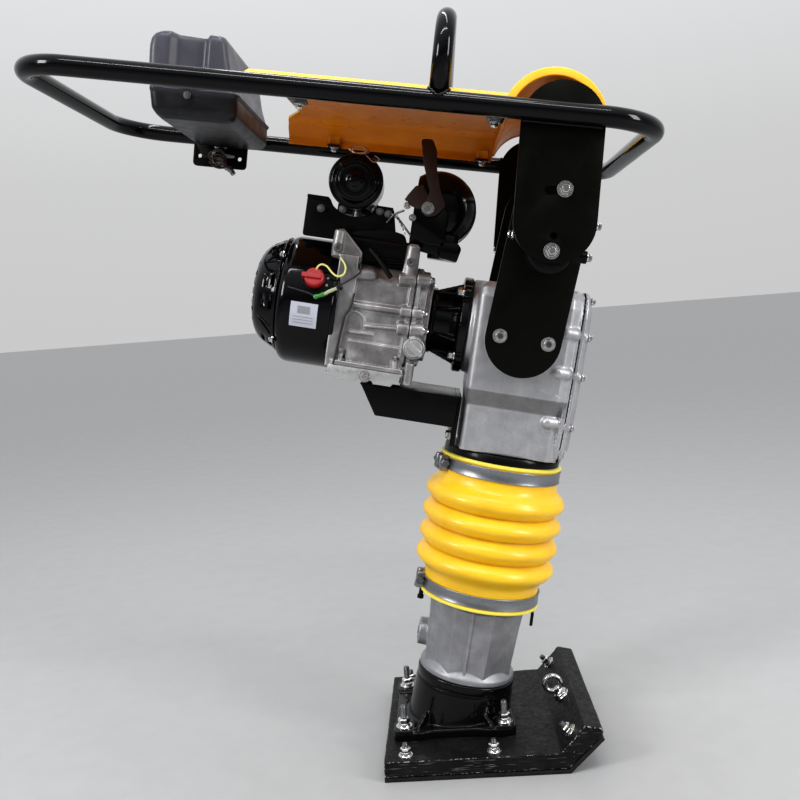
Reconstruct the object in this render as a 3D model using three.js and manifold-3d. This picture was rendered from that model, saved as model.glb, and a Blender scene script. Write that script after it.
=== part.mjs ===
// Tamping rammer ("jumping jack"): a spring leg on a laminated shoe, a crankcase with
// crank gear and centrifugal clutch, a small engine and a tube handle on rubber mounts.
// Millimetres, +Z up, +X forward (the shoe's raised nose), origin on the floor under the
// middle of the handle ring.
import * as THREE from 'three';
import { mergeVertices } from 'three/addons/utils/BufferGeometryUtils.js';
import Module from 'manifold-3d';

const wasm = await Module();
wasm.setup();

// ---- driving dimensions ----------------------------------------------------------
const GAP = 0.3;
const ROUND = 24;
const LEAN = THREE.MathUtils.degToRad(13.03);
const HANDLE_TILT = THREE.MathUtils.degToRad(10.17);
const HANDLE_HEIGHT = 892;

const SHOE_REAR = -10.7;
const SHOE_WIDTH = 285;
const SHOE_THICK = 28.8;
const SHOE_BEND = 226.3;
const SOLE_THICK = 6;
const NOSE_ANGLE = THREE.MathUtils.degToRad(43.5);
const NOSE_START = 239.3;
const NOSE_TIP = 286.3;

const LEG_X = 94.3;
const FLANGE_TOP = 43.5;
const BOLT_XS = [16.3, 158.3];
const BOLT_Y = 70;

const SHAFT_S = 569.5;
const TEETH_GEAR = 43;
const TEETH_PINION = 13;
const GEAR_MODULE = 2.5;
const CRANK_S = SHAFT_S - GEAR_MODULE * (TEETH_GEAR + TEETH_PINION) / 2;
const CRANK_THROW = 28;
const ROD_LENGTH = 62;
const CRANK_PIN_S = CRANK_S - CRANK_THROW;
const WRIST_S = CRANK_PIN_S - ROD_LENGTH;

const RIM_TOP_S = 388;
const RIM_BOTTOM_S = 184;
const BAND_HEIGHT = 17;

const RING_HALF_LENGTH = 393.5;
const RING_HALF_WIDTH = 209.65;
const TUBE_R = 12.4;
const RING_CORNER = 72;
const PLATE_OUT = 197;
const PLATE_IN = 189;
const PLATE_R = 50;
const ARM_OUT = 114;
const ARM_IN = 106;

// ---- geometry helpers ------------------------------------------------------------
function solid(geometry) {
  const bare = geometry.index ? geometry.toNonIndexed() : geometry.clone();
  bare.deleteAttribute('normal');
  bare.deleteAttribute('uv');
  const merged = mergeVertices(bare, 1e-4);
  return new wasm.Manifold(new wasm.Mesh({
    numProp: 3,
    vertProperties: new Float32Array(merged.attributes.position.array),
    triVerts: new Uint32Array(merged.index.array),
  }));
}

function geometryOf(manifold) {
  const mesh = manifold.getMesh();
  const geometry = new THREE.BufferGeometry();
  geometry.setAttribute('position', new THREE.BufferAttribute(mesh.vertProperties, 3));
  geometry.setIndex(new THREE.BufferAttribute(mesh.triVerts, 1));
  return geometry;
}

function join(...geometries) {
  return geometryOf(geometries.map(solid).reduce((sum, next) => sum.add(next)));
}

function cut(base, ...tools) {
  return geometryOf(tools.map(solid).reduce((rest, tool) => rest.subtract(tool), solid(base)));
}

function common(a, b) {
  return geometryOf(solid(a).intersect(solid(b)));
}

const AXIS_X = new THREE.Vector3(1, 0, 0);
const AXIS_Y = new THREE.Vector3(0, 1, 0);
const AXIS_Z = new THREE.Vector3(0, 0, 1);

function box(x0, x1, y0, y1, z0, z1) {
  const geometry = new THREE.BoxGeometry(x1 - x0, y1 - y0, z1 - z0);
  return geometry.translate((x0 + x1) / 2, (y0 + y1) / 2, (z0 + z1) / 2);
}

// Cylinders along each axis; the other two numbers are the axis' place.
function cylX(r, x0, x1, y, z, sides = 20) {
  const geometry = new THREE.CylinderGeometry(r, r, x1 - x0, sides).rotateZ(-Math.PI / 2);
  return geometry.translate((x0 + x1) / 2, y, z);
}

function cylY(r, y0, y1, x, z, sides = 20) {
  return new THREE.CylinderGeometry(r, r, y1 - y0, sides).translate(x, (y0 + y1) / 2, z);
}

function cylZ(r, z0, z1, x, y, sides = 20) {
  const geometry = new THREE.CylinderGeometry(r, r, z1 - z0, sides).rotateX(Math.PI / 2);
  return geometry.translate(x, y, (z0 + z1) / 2);
}

// Outline with its corners rounded by the given radius.
function roundedShape(points, radius) {
  const shape = new THREE.Shape();
  const corners = points.map(([x, y]) => new THREE.Vector2(x, y));
  corners.forEach((corner, i) => {
    const before = corners.at(i - 1).clone().sub(corner);
    const after = corners[(i + 1) % corners.length].clone().sub(corner);
    const reach = Math.min(radius, before.length() / 2.01, after.length() / 2.01);
    const start = corner.clone().add(before.setLength(reach));
    const end = corner.clone().add(after.setLength(reach));
    if (i === 0) shape.moveTo(start.x, start.y);
    else shape.lineTo(start.x, start.y);
    shape.quadraticCurveTo(corner.x, corner.y, end.x, end.y);
  });
  shape.closePath();
  return shape;
}

function plainShape(points) {
  return new THREE.Shape(points.map(([x, y]) => new THREE.Vector2(x, y)));
}

function slab(shape, depth, segments) {
  return new THREE.ExtrudeGeometry(shape, { depth, bevelEnabled: false, curveSegments: segments });
}

// Prisms: the outline is in (x, z), (y, z) or (x, y), the depth along the third axis.
function prismY(shape, y0, y1, segments = 3) {
  const basis = new THREE.Matrix4().makeBasis(AXIS_X, AXIS_Z, AXIS_Y.clone().negate());
  return slab(shape, y1 - y0, segments).applyMatrix4(basis).translate(0, y1, 0);
}

function prismX(shape, x0, x1, segments = 3) {
  const basis = new THREE.Matrix4().makeBasis(AXIS_Y, AXIS_Z, AXIS_X);
  return slab(shape, x1 - x0, segments).applyMatrix4(basis).translate(x0, 0, 0);
}

function prismZ(shape, z0, z1, segments = 3) {
  return slab(shape, z1 - z0, segments).translate(0, 0, z0);
}

// Turned shapes: pairs of (radius, place along the axis), in either direction.
function lathe(profile, sides) {
  const points = profile.map(([r, place]) => new THREE.Vector2(r, place));
  if (THREE.ShapeUtils.area(points) < 0) points.reverse();
  return new THREE.LatheGeometry(points, sides);
}

function turnedZ(profile, sides = ROUND) {
  return lathe(profile, sides).rotateX(Math.PI / 2);
}

function turnedX(profile, y, z, sides = ROUND) {
  return lathe(profile, sides).rotateZ(-Math.PI / 2).translate(0, y, z);
}

function turnedY(profile, x, z, sides = ROUND) {
  return lathe(profile, sides).translate(x, 0, z);
}

function closeLoop(profile) {
  return [...profile, profile[0]];
}

function tube(curve, radius, steps, sides = 10) {
  const section = plainShape(Array.from({ length: sides }, (_, i) => {
    const angle = (2 * Math.PI * i) / sides;
    return [radius * Math.cos(angle), radius * Math.sin(angle)];
  }));
  return new THREE.ExtrudeGeometry(section, { steps, extrudePath: curve, bevelEnabled: false });
}

function stadium(x0, z0, x1, z1, r, steps = 10) {
  const along = Math.atan2(z1 - z0, x1 - x0);
  const points = [];
  for (const [x, z, start] of [[x0, z0, along + Math.PI / 2], [x1, z1, along - Math.PI / 2]]) {
    for (let i = 0; i <= steps; i += 1) {
      const angle = start + (Math.PI * i) / steps;
      points.push([x + r * Math.cos(angle), z + r * Math.sin(angle)]);
    }
  }
  return plainShape(points);
}

class Helix extends THREE.Curve {
  constructor(radius, from, to, turns) {
    super();
    Object.assign(this, { radius, from, to, turns });
  }

  getPoint(t) {
    const angle = t * this.turns * Math.PI * 2;
    const z = this.from + (this.to - this.from) * t;
    return new THREE.Vector3(this.radius * Math.cos(angle), this.radius * Math.sin(angle), z);
  }
}

// ---- materials -------------------------------------------------------------------
function finish(color, roughness, metalness) {
  return () => new THREE.MeshStandardMaterial({ color, roughness, metalness });
}

const ALUMINIUM = finish(0xa9a9ab, 0.45, 0.8);
const BLACK_PAINT = finish(0x111111, 0.3, 0.2);
const BLACK_PLASTIC = finish(0x16161a, 0.35, 0);
const STEEL = finish(0x9a9c9e, 0.35, 1);
const RUBBER = finish(0x151515, 0.8, 0);
const YELLOW = finish(0xf0b412, 0.45, 0);
const TANK_GREY = finish(0x3a3a42, 0.4, 0);
const RED = finish(0xc01c20, 0.4, 0);
const WOOD_BLACK = finish(0x1a1a1a, 0.6, 0);

const group = new THREE.Group();
const leg = new THREE.Group();
leg.position.set(LEG_X, 0, SHOE_THICK);
leg.rotation.y = LEAN;
const handle = new THREE.Group();
handle.position.set(0, 0, HANDLE_HEIGHT);
handle.rotation.y = HANDLE_TILT;
group.add(leg, handle);
leg.updateMatrix();

function part(parent, name, geometry, material) {
  const mesh = new THREE.Mesh(geometry, material());
  mesh.name = name;
  parent.add(mesh);
  return mesh;
}

// ---- shoe and foot ---------------------------------------------------------------
const NOSE_NORMAL = [-Math.sin(NOSE_ANGLE), Math.cos(NOSE_ANGLE)];
const NOSE_TIP_Z = (NOSE_TIP - NOSE_START) * Math.tan(NOSE_ANGLE);

function offsetTip(distance) {
  return [NOSE_TIP + distance * NOSE_NORMAL[0], NOSE_TIP_Z + distance * NOSE_NORMAL[1]];
}

function offsetBend(distance) {
  return [NOSE_START - distance * Math.tan(NOSE_ANGLE / 2), distance];
}

function solePlate() {
  const outline = plainShape([
    [SHOE_REAR, 0], [NOSE_START, 0], [NOSE_TIP, NOSE_TIP_Z],
    offsetTip(SOLE_THICK), offsetBend(SOLE_THICK), [SHOE_REAR, SOLE_THICK],
  ]);
  return prismY(outline, -SHOE_WIDTH / 2, SHOE_WIDTH / 2);
}

function shoeBoard() {
  const low = SOLE_THICK + GAP;
  const outline = plainShape([
    [SHOE_REAR, low], offsetBend(low), offsetTip(low),
    [NOSE_TIP - 0.8, 54], [NOSE_TIP - 0.8, 60.5], [NOSE_TIP - 25, 66],
    [SHOE_BEND, SHOE_THICK], [SHOE_REAR, SHOE_THICK],
  ]);
  const board = prismY(outline, -SHOE_WIDTH / 2, SHOE_WIDTH / 2);
  const holes = BOLT_XS.flatMap((x) => [-BOLT_Y, BOLT_Y]
    .map((y) => cylZ(6, low - 1, SHOE_THICK + 1, x, y, 10)));
  return cut(board, ...holes);
}

function footFlange() {
  const halfLength = 83.5;
  const halfWidth = 86;
  const waist = 76;
  const centre = (BOLT_XS[0] + BOLT_XS[1]) / 2;
  const outline = roundedShape([
    [centre - halfLength, -halfWidth], [centre - 42, -halfWidth], [centre - 24, -waist],
    [centre + 24, -waist], [centre + 42, -halfWidth], [centre + halfLength, -halfWidth],
    [centre + halfLength, halfWidth], [centre + 42, halfWidth], [centre + 24, waist],
    [centre - 24, waist], [centre - 42, halfWidth], [centre - halfLength, halfWidth],
  ], 14);
  return prismZ(outline, SHOE_THICK + GAP, FLANGE_TOP, 2);
}

function footCasting() {
  const neck = [[0, -40], [78, -40], [73, 30], [71, 62], [69.5, 64], [71, 66], [71, 78], [0, 78]];
  const outer = turnedZ(neck).applyMatrix4(leg.matrix);
  const centre = (BOLT_XS[0] + BOLT_XS[1]) / 2;
  const ribs = [];
  for (const angle of [56, 124, 236, 304]) {
    const profile = plainShape([[55, FLANGE_TOP - 2], [102, FLANGE_TOP - 2], [102, FLANGE_TOP + 2],
      [66, FLANGE_TOP + 30], [55, FLANGE_TOP + 30]]);
    const rib = prismY(profile, -3.5, 3.5).rotateZ(THREE.MathUtils.degToRad(angle));
    ribs.push(rib.translate(centre, 0, 0));
  }
  const below = box(-200, 400, -200, 200, -200, SHOE_THICK + GAP);
  const cavity = turnedZ([[0, 20], [58, 20], [58, 90], [0, 90]], 20).applyMatrix4(leg.matrix);
  const holes = BOLT_XS.flatMap((x) => [-BOLT_Y, BOLT_Y]
    .map((y) => cylZ(6, SHOE_THICK - 1, FLANGE_TOP + 5, x, y, 10)));
  return cut(join(footFlange(), cut(outer, below), ...ribs), cavity, ...holes);
}

function eyeBolt() {
  const base = new THREE.CylinderGeometry(11, 12, 6, 16).rotateX(Math.PI / 2).translate(0, 0, 3.4);
  const neck = new THREE.CylinderGeometry(5, 7, 12, 12).rotateX(Math.PI / 2).translate(0, 0, 9);
  const ring = new THREE.TorusGeometry(13, 4, 8, 20).rotateX(Math.PI / 2).translate(0, 0, 27);
  const x = SHOE_BEND + 14;
  const onSlope = SHOE_THICK + 14 * (66 - SHOE_THICK) / (NOSE_TIP - 25 - SHOE_BEND);
  return join(base, neck, ring).rotateY(-NOSE_ANGLE - 0.06).translate(x, 0, onSlope);
}

// ---- spring leg ------------------------------------------------------------------
function springCylinder() {
  const body = turnedZ(closeLoop([
    [50, 78.3], [70, 78.3], [70, 86], [64, 88], [67, 150], [67, 180], [78.8, 185],
    [78.8, 207], [60, 212], [58, 300], [50, 300],
  ]), ROUND);
  const boss = cylX(19, -84, -52, 0, 121, 20);
  const rib = box(-4, 4, -71, -60, 90, 184);
  return cut(join(body, boss, rib), cylZ(50, 79, 299, 0, 0, ROUND));
}

function springCap() {
  return turnedZ(closeLoop([[17, 300.3], [58, 300.3], [58, 310], [30, 314], [17, 314]]), 24);
}

function spring(from, to, turns) {
  return tube(new Helix(36, from, to, turns), 4.5, Math.round(turns * 9), 6);
}

function ramPiston() {
  const turned = turnedZ([[0, 166], [48.5, 166], [48.5, 178], [15, 178], [15, 392], [0, 392]], 20);
  const eye = join(box(-4.5, 4.5, -11, 11, 388, WRIST_S), cylX(11, -4.5, 4.5, 0, WRIST_S, 20));
  return cut(join(turned, eye), cylX(6, -10, 10, 0, WRIST_S, 12));
}

function connectingRod() {
  const outline = plainShape([[-9, WRIST_S], [9, WRIST_S], [13, CRANK_PIN_S], [-13, CRANK_PIN_S]]);
  const web = prismX(outline, -9, 9);
  const ends = [cylX(20, -9, 9, 0, CRANK_PIN_S, 24), cylX(11, -9, 9, 0, WRIST_S, 20)];
  const fork = box(-4.8, 4.8, -30, 30, WRIST_S - 20, WRIST_S + 14);
  const bores = [cylX(12.8, -12, 12, 0, CRANK_PIN_S, 20), cylX(6, -12, 12, 0, WRIST_S, 12)];
  return cut(join(web, ...ends), fork, ...bores);
}

function guideTube() {
  return turnedZ(closeLoop([
    [62, 232], [70, 232], [70, 354], [80, 360], [80, 390], [82, 392], [82, 401.7], [62, 401.7],
  ]), ROUND);
}

function bellows() {
  const outer = [[83.4, RIM_BOTTOM_S], [83.4, 208], [90, 222], [101, 240], [89, 256], [101, 272],
    [89, 288], [100, 304], [88, 318], [100, 333], [88, 350], [84.6, 362], [84.6, RIM_TOP_S]];
  const inner = outer.map(([r, s]) => [r - 4.2, s]).reverse();
  return turnedZ(closeLoop([...outer, ...inner]), ROUND);
}

function clampBand(innerR, bottom) {
  const band = turnedZ(closeLoop([
    [innerR, bottom], [innerR + 1.6, bottom], [innerR + 1.6, bottom + BAND_HEIGHT],
    [innerR, bottom + BAND_HEIGHT],
  ]), ROUND);
  const wormHousing = box(-innerR - 12, -innerR + 0.5, -13, 13, bottom - 1, bottom + BAND_HEIGHT + 1);
  const bore = cylZ(innerR, bottom - 5, bottom + BAND_HEIGHT + 5, 0, 0, ROUND);
  return join(band, cut(wormHousing, bore));
}

// ---- crankcase -------------------------------------------------------------------
function crankcaseHousing() {
  const side = plainShape([[-60, 402], [68, 402], [70, 634], [56, 637], [-50, 627], [-72, 625],
    [-72, 500], [-70, 404]]);
  const front = plainShape([[-74, 402], [74, 402], [74, 470], [88, 486], [88, 618], [70, 640],
    [-70, 640], [-88, 618], [-88, 486], [-74, 470]]);
  const body = common(prismY(side, -100, 100), prismX(front, -90, 90));
  const clutchSeat = cylX(62, -78.7, -60, 0, SHAFT_S, ROUND);
  const pads = [-1, 1].map((hand) => cylY(47, Math.min(hand * 80, hand * (ARM_IN - GAP)),
    Math.max(hand * 80, hand * (ARM_IN - GAP)), -6, 563, 24));
  const cavity = box(-60, 72, -64, 64, 414, 616);
  const legHole = cylZ(61.7, 398, 420, 0, 0, 24);
  const shaftHole = cylX(10.5, -85, -50, 0, SHAFT_S, 16);
  return cut(join(body, clutchSeat, ...pads), cavity, legHole, shaftHole);
}

function crankcaseCover() {
  const side = plainShape([[70.3, 404], [72, 404], [84, 470], [88, 500], [88, 528], [81, 560],
    [78, 618], [72, 637], [70.3, 637]]);
  const front = roundedShape([[-74, 404], [74, 404], [86, 470], [86, 610], [66, 638], [-66, 638],
    [-86, 610], [-86, 470]], 16);
  const plate = common(prismY(side, -100, 100), prismX(front, 60, 95));
  const boss = cylX(31, 50, 72, 0, CRANK_S, 24);
  return cut(join(plate, boss), cylX(26.3, 49, 66, 0, CRANK_S, 24));
}

function crankBearing() {
  return turnedX(closeLoop([[14.4, 52], [26, 52], [26, 64], [14.4, 64]]), 0, CRANK_S, 24);
}

function gearShape(teeth, toothAngle) {
  const pitchR = (GEAR_MODULE * teeth) / 2;
  const rootR = pitchR - 1.2 * GEAR_MODULE;
  const tipR = pitchR + 0.75 * GEAR_MODULE;
  const half = (Math.PI / 2 / teeth) * 0.8;
  const points = [];
  for (let i = 0; i < teeth; i += 1) {
    const middle = toothAngle + (2 * Math.PI * i) / teeth;
    for (const [r, angle] of [[rootR, -1.45], [tipR, -0.5], [tipR, 0.5], [rootR, 1.45]]) {
      points.push([r * Math.cos(middle + angle * half), r * Math.sin(middle + angle * half)]);
    }
  }
  return plainShape(points);
}

function crankGear() {
  const gear = prismX(gearShape(TEETH_GEAR, Math.PI / 2), 22, 42).translate(0, 0, CRANK_S);
  const shaft = cylX(14, 40, 63, 0, CRANK_S, 20);
  const pin = cylX(12, 9.8, 24, 0, CRANK_PIN_S, 20);
  return join(gear, shaft, pin);
}

function pinionShaft() {
  const gap = -Math.PI / 2 + Math.PI / TEETH_PINION;
  const pinion = prismX(gearShape(TEETH_PINION, gap), 22, 42).translate(0, 0, SHAFT_S);
  return join(pinion, cylX(9, -104, 62, 0, SHAFT_S, 16));
}

function clutchHousing() {
  return turnedX(closeLoop([
    [42, -132.7], [45, -132.7], [45, -100], [49, -90], [64, -90], [64, -79], [24, -79],
    [24, -86], [42, -92],
  ]), 0, SHAFT_S, ROUND);
}

function clutchDrum() {
  return turnedX(closeLoop([
    [9.3, -101], [34.5, -101], [34.5, -124], [38, -124], [38, -97], [14, -97], [14, -94], [9.3, -94],
  ]), 0, SHAFT_S, 24);
}

function clutchShoes() {
  const disc = cylX(32.5, -122, -107, 0, 0, 24);
  const slots = [box(-130, -100, -2, 2, 13, 40), box(-130, -100, -2, 2, -40, -13)];
  return cut(disc, ...slots, cylX(10, -130, -100, 0, 0, 16)).translate(0, 0, SHAFT_S);
}

// ---- arms and rubber mounts ------------------------------------------------------
const ARM_LOW = [-7, 563];
const ARM_HIGH = [4, 745];
const MOUNT_LOW = [0, 675];
const MOUNT_HIGH = [4.4, 749];

function spanY(hand, near, far) {
  return hand > 0 ? [near, far] : [-far, -near];
}

function armPlate(hand) {
  return prismY(stadium(...ARM_HIGH, ...ARM_LOW, PLATE_R, 12), ...spanY(hand, ARM_IN, ARM_OUT));
}

// One bonded rubber block per side, waisted between its two end discs.
function rubberMount(hand) {
  const layers = [[ARM_OUT + GAP, 122, 34], [121, 182, 30], [181, PLATE_IN - GAP, 34]];
  return join(...layers.map(([near, far, r]) => prismY(
    stadium(...MOUNT_HIGH, ...MOUNT_LOW, r, 8), ...spanY(hand, near, far))));
}

// ---- engine ----------------------------------------------------------------------
function engineBlock() {
  const outline = roundedShape([[-78, 500], [70, 500], [74, 560], [66, 628], [-52, 634], [-78, 612]], 12);
  const body = prismX(outline, -257.7, -157.3, 2);
  const rearPost = prismY(plainShape([[-257.7, 618], [-236, 618], [-236, 650], [-246, 671],
    [-257.7, 668]]), -74, -56);
  const frontPost = box(-176, -162, -72, -58, 600, 667);
  return cut(join(body, rearPost, frontPost), cylX(34, -260, -150, 0, SHAFT_S, 24));
}

function sideCover() {
  const outline = roundedShape([[-76, 504], [66, 504], [70, 560], [60, 630], [-50, 634], [-76, 608]], 14);
  return cut(prismX(outline, -157, -133, 2), cylX(12, -160, -130, 0, SHAFT_S, 16));
}

function engineBase() {
  const outline = plainShape([[-82, 477], [-78.5, 477], [-78.5, 492], [74, 492], [74, 499.7],
    [-82, 499.7]]);
  return prismX(outline, -257, -158);
}

function engineBracket() {
  const top = box(-207, -79.7, -74, 70, 470, 476.7);
  const wall = box(-79.7, -72.4, -74, 70, 404, 476.7);
  const gusset = plainShape([[-207, 472], [-186, 431], [-78, 431], [-78, 472]]);
  return join(top, wall, prismY(gusset, -74, -69), prismY(gusset, 65, 70));
}

const FIN_PITCH = 13;
const FIN_GROOVE = 5;

function cylinderHead() {
  const core = box(-248, -176, 74.5, 138, 560, 646);
  const fins = [];
  for (let y = 82; y < 132; y += FIN_PITCH) {
    fins.push(box(-260, -164, y, y + FIN_GROOVE, 640, 660));
    fins.push(box(-260, -164, y, y + FIN_GROOVE, 546, 567));
  }
  return cut(core, ...fins);
}

function sparkPlug() {
  return join(cylY(9, 138.3, 146, -212, 600, 6), cylY(6, 145, 166, -212, 600, 12));
}

function cylinderShroud() {
  const outline = roundedShape([[-44, 636.5], [60, 632.5], [74, 650], [70, 668], [-40, 668]], 8);
  return prismX(outline, -257.7, -178, 2);
}

function fanHousing() {
  return turnedX(closeLoop([
    [86, -258.3], [90, -258.3], [90, -328], [86, -337], [78, -341], [60, -341], [60, -337.5],
    [76, -337.5], [83, -334], [86, -326],
  ]), 0, SHAFT_S, ROUND);
}

function flywheel() {
  const disc = turnedX(closeLoop([[10, -303], [62, -303], [62, -290], [10, -290]]), 0, 0, 24);
  const fins = [];
  for (let i = 0; i < 8; i += 1) {
    fins.push(box(-314, -302, 34, 60, -2, 2).rotateX((Math.PI * i) / 4));
  }
  return join(disc, ...fins).translate(0, 0, SHAFT_S);
}

function crankshaft() {
  const journal = cylX(9.6, -306, -106, 0, SHAFT_S, 16);
  const cheeks = [[-224, -214], [-196, -186]].map(([x0, x1]) => cylX(27, x0, x1, 0, SHAFT_S, 20));
  const bigEnd = cylX(10, -216, -194, 0, SHAFT_S + 16, 14);
  return join(journal, ...cheeks, bigEnd);
}

const RECOIL_RISE = 4;

function recoilCover() {
  const shell = turnedX([
    [0, -383], [42, -383], [54, -379], [67, -369], [77, -350], [80, -341.3], [76, -341.3], [73, -349],
    [63, -366], [51, -375], [42, -379], [0, -379],
  ], 0, SHAFT_S + RECOIL_RISE, ROUND);
  return join(shell, cylX(8, -381, -338, 0, SHAFT_S, 16));
}

function recoilPulley() {
  const rim = [[8.3, -356], [40, -356], [36, -351], [36, -348], [40, -343], [8.3, -343]];
  return turnedX(closeLoop(rim), 0, SHAFT_S, ROUND);
}

function starterGrip() {
  return prismX(roundedShape([[90.6, 562], [104, 562], [104, 582], [90.6, 582]], 6), -372, -326, 2);
}

const SWITCH_ANGLE = THREE.MathUtils.degToRad(20.5);

function stopSwitch() {
  const knob = new THREE.CylinderGeometry(12.5, 11.5, 9, 20).translate(0, -95.1, 0);
  const bar = new THREE.BoxGeometry(5, 4, 21).translate(0, -101, 0);
  return join(knob, bar).rotateX(-SWITCH_ANGLE).translate(-292.5, 0, SHAFT_S);
}

function oilPlug() {
  return join(cylY(12, -87, -78.4, -147, 529, 18), box(-149.5, -144.5, -91, -86, 518, 540));
}

function airCleanerCase() {
  return turnedY([[0, -34.7], [36, -34.7], [36, 18], [20, 26], [0, 26]], -258, 740, ROUND);
}

function airCleanerCap() {
  return turnedY([[0, -58], [14, -56], [30, -53], [38, -47], [38, -35], [0, -35]], -258, 740, ROUND);
}

function airBracket() {
  const outline = plainShape([[-320, 660], [-262, 668.4], [-200, 668.4], [-193, 672], [-200, 709],
    [-232, 704], [-290, 714], [-323, 711]]);
  const notch = cylY(46, -40, 0, -258, 740, ROUND);
  return cut(prismY(outline, -24, -19), notch);
}

function carburettor() {
  return join(box(-276, -240, 26.3, 62, 712, 764), cylY(17, 60, 84, -258, 738, 16),
    tube(new THREE.CatmullRomCurve3([[-258, 80, 738], [-252, 96, 728], [-238, 104, 700],
      [-226, 104, 664]].map((p) => new THREE.Vector3(...p))), 13, 8, 10));
}

function chokeLever() {
  return join(box(-240 + GAP, -237, 36, 44, 724, 752), box(-239.7, -232, 37, 43, 748, 754));
}

function muffler() {
  const profile = [[0, -30], [26, -28], [44, -20], [53, -4], [53, 44], [44, 56], [0, 58]];
  const drum = cut(turnedY(profile, -144, 725, ROUND), box(-220, -177, -60, 80, 640, 800));
  const bracket = box(-177, -128, -41.7, -20, 673, 724);
  const foot = box(-150, -110, -20, 20, 655, 690);
  return join(drum, bracket, foot);
}

const THROTTLE_PIVOT = [-158, 718];

function throttleLever() {
  const [x, z] = THROTTLE_PIVOT;
  const strap = plainShape([
    [x - 8, z - 8], [x + 8, z - 8], [x + 7, z + 30], [x, z + 55], [x - 4, z + 88],
    [x - 18, z + 88], [x - 16, z + 55], [x - 9, z + 30],
  ]);
  return join(prismY(strap, -45, -42), cylY(7, -50, -44, x, z, 6));
}

// ---- handle ----------------------------------------------------------------------
function handleRing() {
  const length = RING_HALF_LENGTH;
  const width = RING_HALF_WIDTH;
  const flat = (x, y) => new THREE.Vector3(x, y, 0);
  const corners = [[length, -width], [length, width], [-length, width], [-length, -width]];
  const at = (i) => flat(...corners[(i + 4) % 4]);
  const points = [];
  corners.forEach((corner, i) => {
    const toBefore = at(i - 1).sub(at(i)).setLength(RING_CORNER);
    const toAfter = at(i + 1).sub(at(i)).setLength(RING_CORNER);
    const centre = at(i).add(toBefore).add(toAfter);
    for (let k = 0; k <= 6; k += 1) {
      const turn = (Math.PI / 2) * (k / 6);
      points.push(centre.clone().sub(toAfter.clone().multiplyScalar(Math.cos(turn)))
        .sub(toBefore.clone().multiplyScalar(Math.sin(turn))));
    }
  });
  return sweepLoop(points, TUBE_R, 12);
}

// Tube around a flat closed loop of points, mitred at every point.
function sweepLoop(points, radius, sides) {
  const vertices = [];
  const indices = [];
  const count = points.length;
  points.forEach((point, i) => {
    const ahead = points[(i + 1) % count].clone().sub(point).normalize();
    const behind = point.clone().sub(points.at(i - 1)).normalize();
    const along = ahead.clone().add(behind).normalize();
    const out = new THREE.Vector3().crossVectors(along, AXIS_Z).normalize();
    const mitre = 1 / Math.max(0.5, along.dot(ahead));
    for (let k = 0; k < sides; k += 1) {
      const angle = (2 * Math.PI * (k + 0.5)) / sides;
      const place = point.clone().addScaledVector(out, radius * mitre * Math.cos(angle))
        .addScaledVector(AXIS_Z, radius * Math.sin(angle));
      vertices.push(place.x, place.y, place.z);
    }
  });
  for (let i = 0; i < count; i += 1) {
    for (let k = 0; k < sides; k += 1) {
      const a = i * sides + k;
      const b = i * sides + ((k + 1) % sides);
      const c = ((i + 1) % count) * sides + k;
      const d = ((i + 1) % count) * sides + ((k + 1) % sides);
      indices.push(a, d, b, a, c, d);
    }
  }
  const geometry = new THREE.BufferGeometry();
  geometry.setAttribute('position', new THREE.Float32BufferAttribute(vertices, 3));
  geometry.setIndex(indices);
  return geometry;
}

const HOOP_X = 126;
const HOOP_TOP = 106;
const HOOP_BEND = 46;

function liftHoop() {
  const path = new THREE.CurvePath();
  const far = RING_HALF_WIDTH;
  const near = far - HOOP_BEND;
  const foot = TUBE_R + GAP;
  const neck = HOOP_TOP - HOOP_BEND;
  const at = (y, z) => new THREE.Vector3(HOOP_X, y, z);
  path.add(new THREE.LineCurve3(at(-far, foot), at(-far, neck)));
  path.add(new THREE.QuadraticBezierCurve3(at(-far, neck), at(-far, HOOP_TOP), at(-near, HOOP_TOP)));
  path.add(new THREE.LineCurve3(at(-near, HOOP_TOP), at(near, HOOP_TOP)));
  path.add(new THREE.QuadraticBezierCurve3(at(near, HOOP_TOP), at(far, HOOP_TOP), at(far, neck)));
  path.add(new THREE.LineCurve3(at(far, neck), at(far, foot)));
  return tube(path, 12, 26, 10);
}

function handlePlate(hand) {
  return prismY(stadium(276, -9, 280, -124, PLATE_R, 14), ...spanY(hand, PLATE_IN, PLATE_OUT - GAP));
}

const HOOD_X = 266;
const HOOD_Z = -7;

function handleCover() {
  const outer = [[-187, 4], [-187, 12], [-150, 31], [0, 35], [150, 31], [187, 12], [187, 4]];
  const inner = [[183.5, 4], [183.5, 10], [148, 27.5], [0, 31.5], [-148, 27.5], [-183.5, 10], [-183.5, 4]];
  const channel = prismX(plainShape([...outer, ...inner]), -130, 220);
  const plan = plainShape([[-117, -190], [-110, -128], [-98.7, -107], [-84.7, -77], [-91, 0],
    [-84.7, 77], [-98.7, 107], [-110, 128], [-117, 190], [219, 190], [219, -190]]);
  const tray = common(channel, prismZ(plan, -20, 60));
  const arc = (r, from, to) => Array.from({ length: 15 }, (_, i) => {
    const angle = THREE.MathUtils.degToRad(from + ((to - from) * i) / 14);
    return [HOOD_X + r * Math.cos(angle), HOOD_Z + r * Math.sin(angle)];
  });
  const hood = prismY(plainShape([...arc(63.5, 8, 161), ...arc(54.5, 161, 8)]), -188, 188);
  const room = cylY(54.5, -200, 200, HOOD_X, HOOD_Z, 40);
  return join(cut(tray, room), hood);
}

const CAP_X = -204;
const CAP_Y = 30;
const CAP_BASE = 79;

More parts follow.
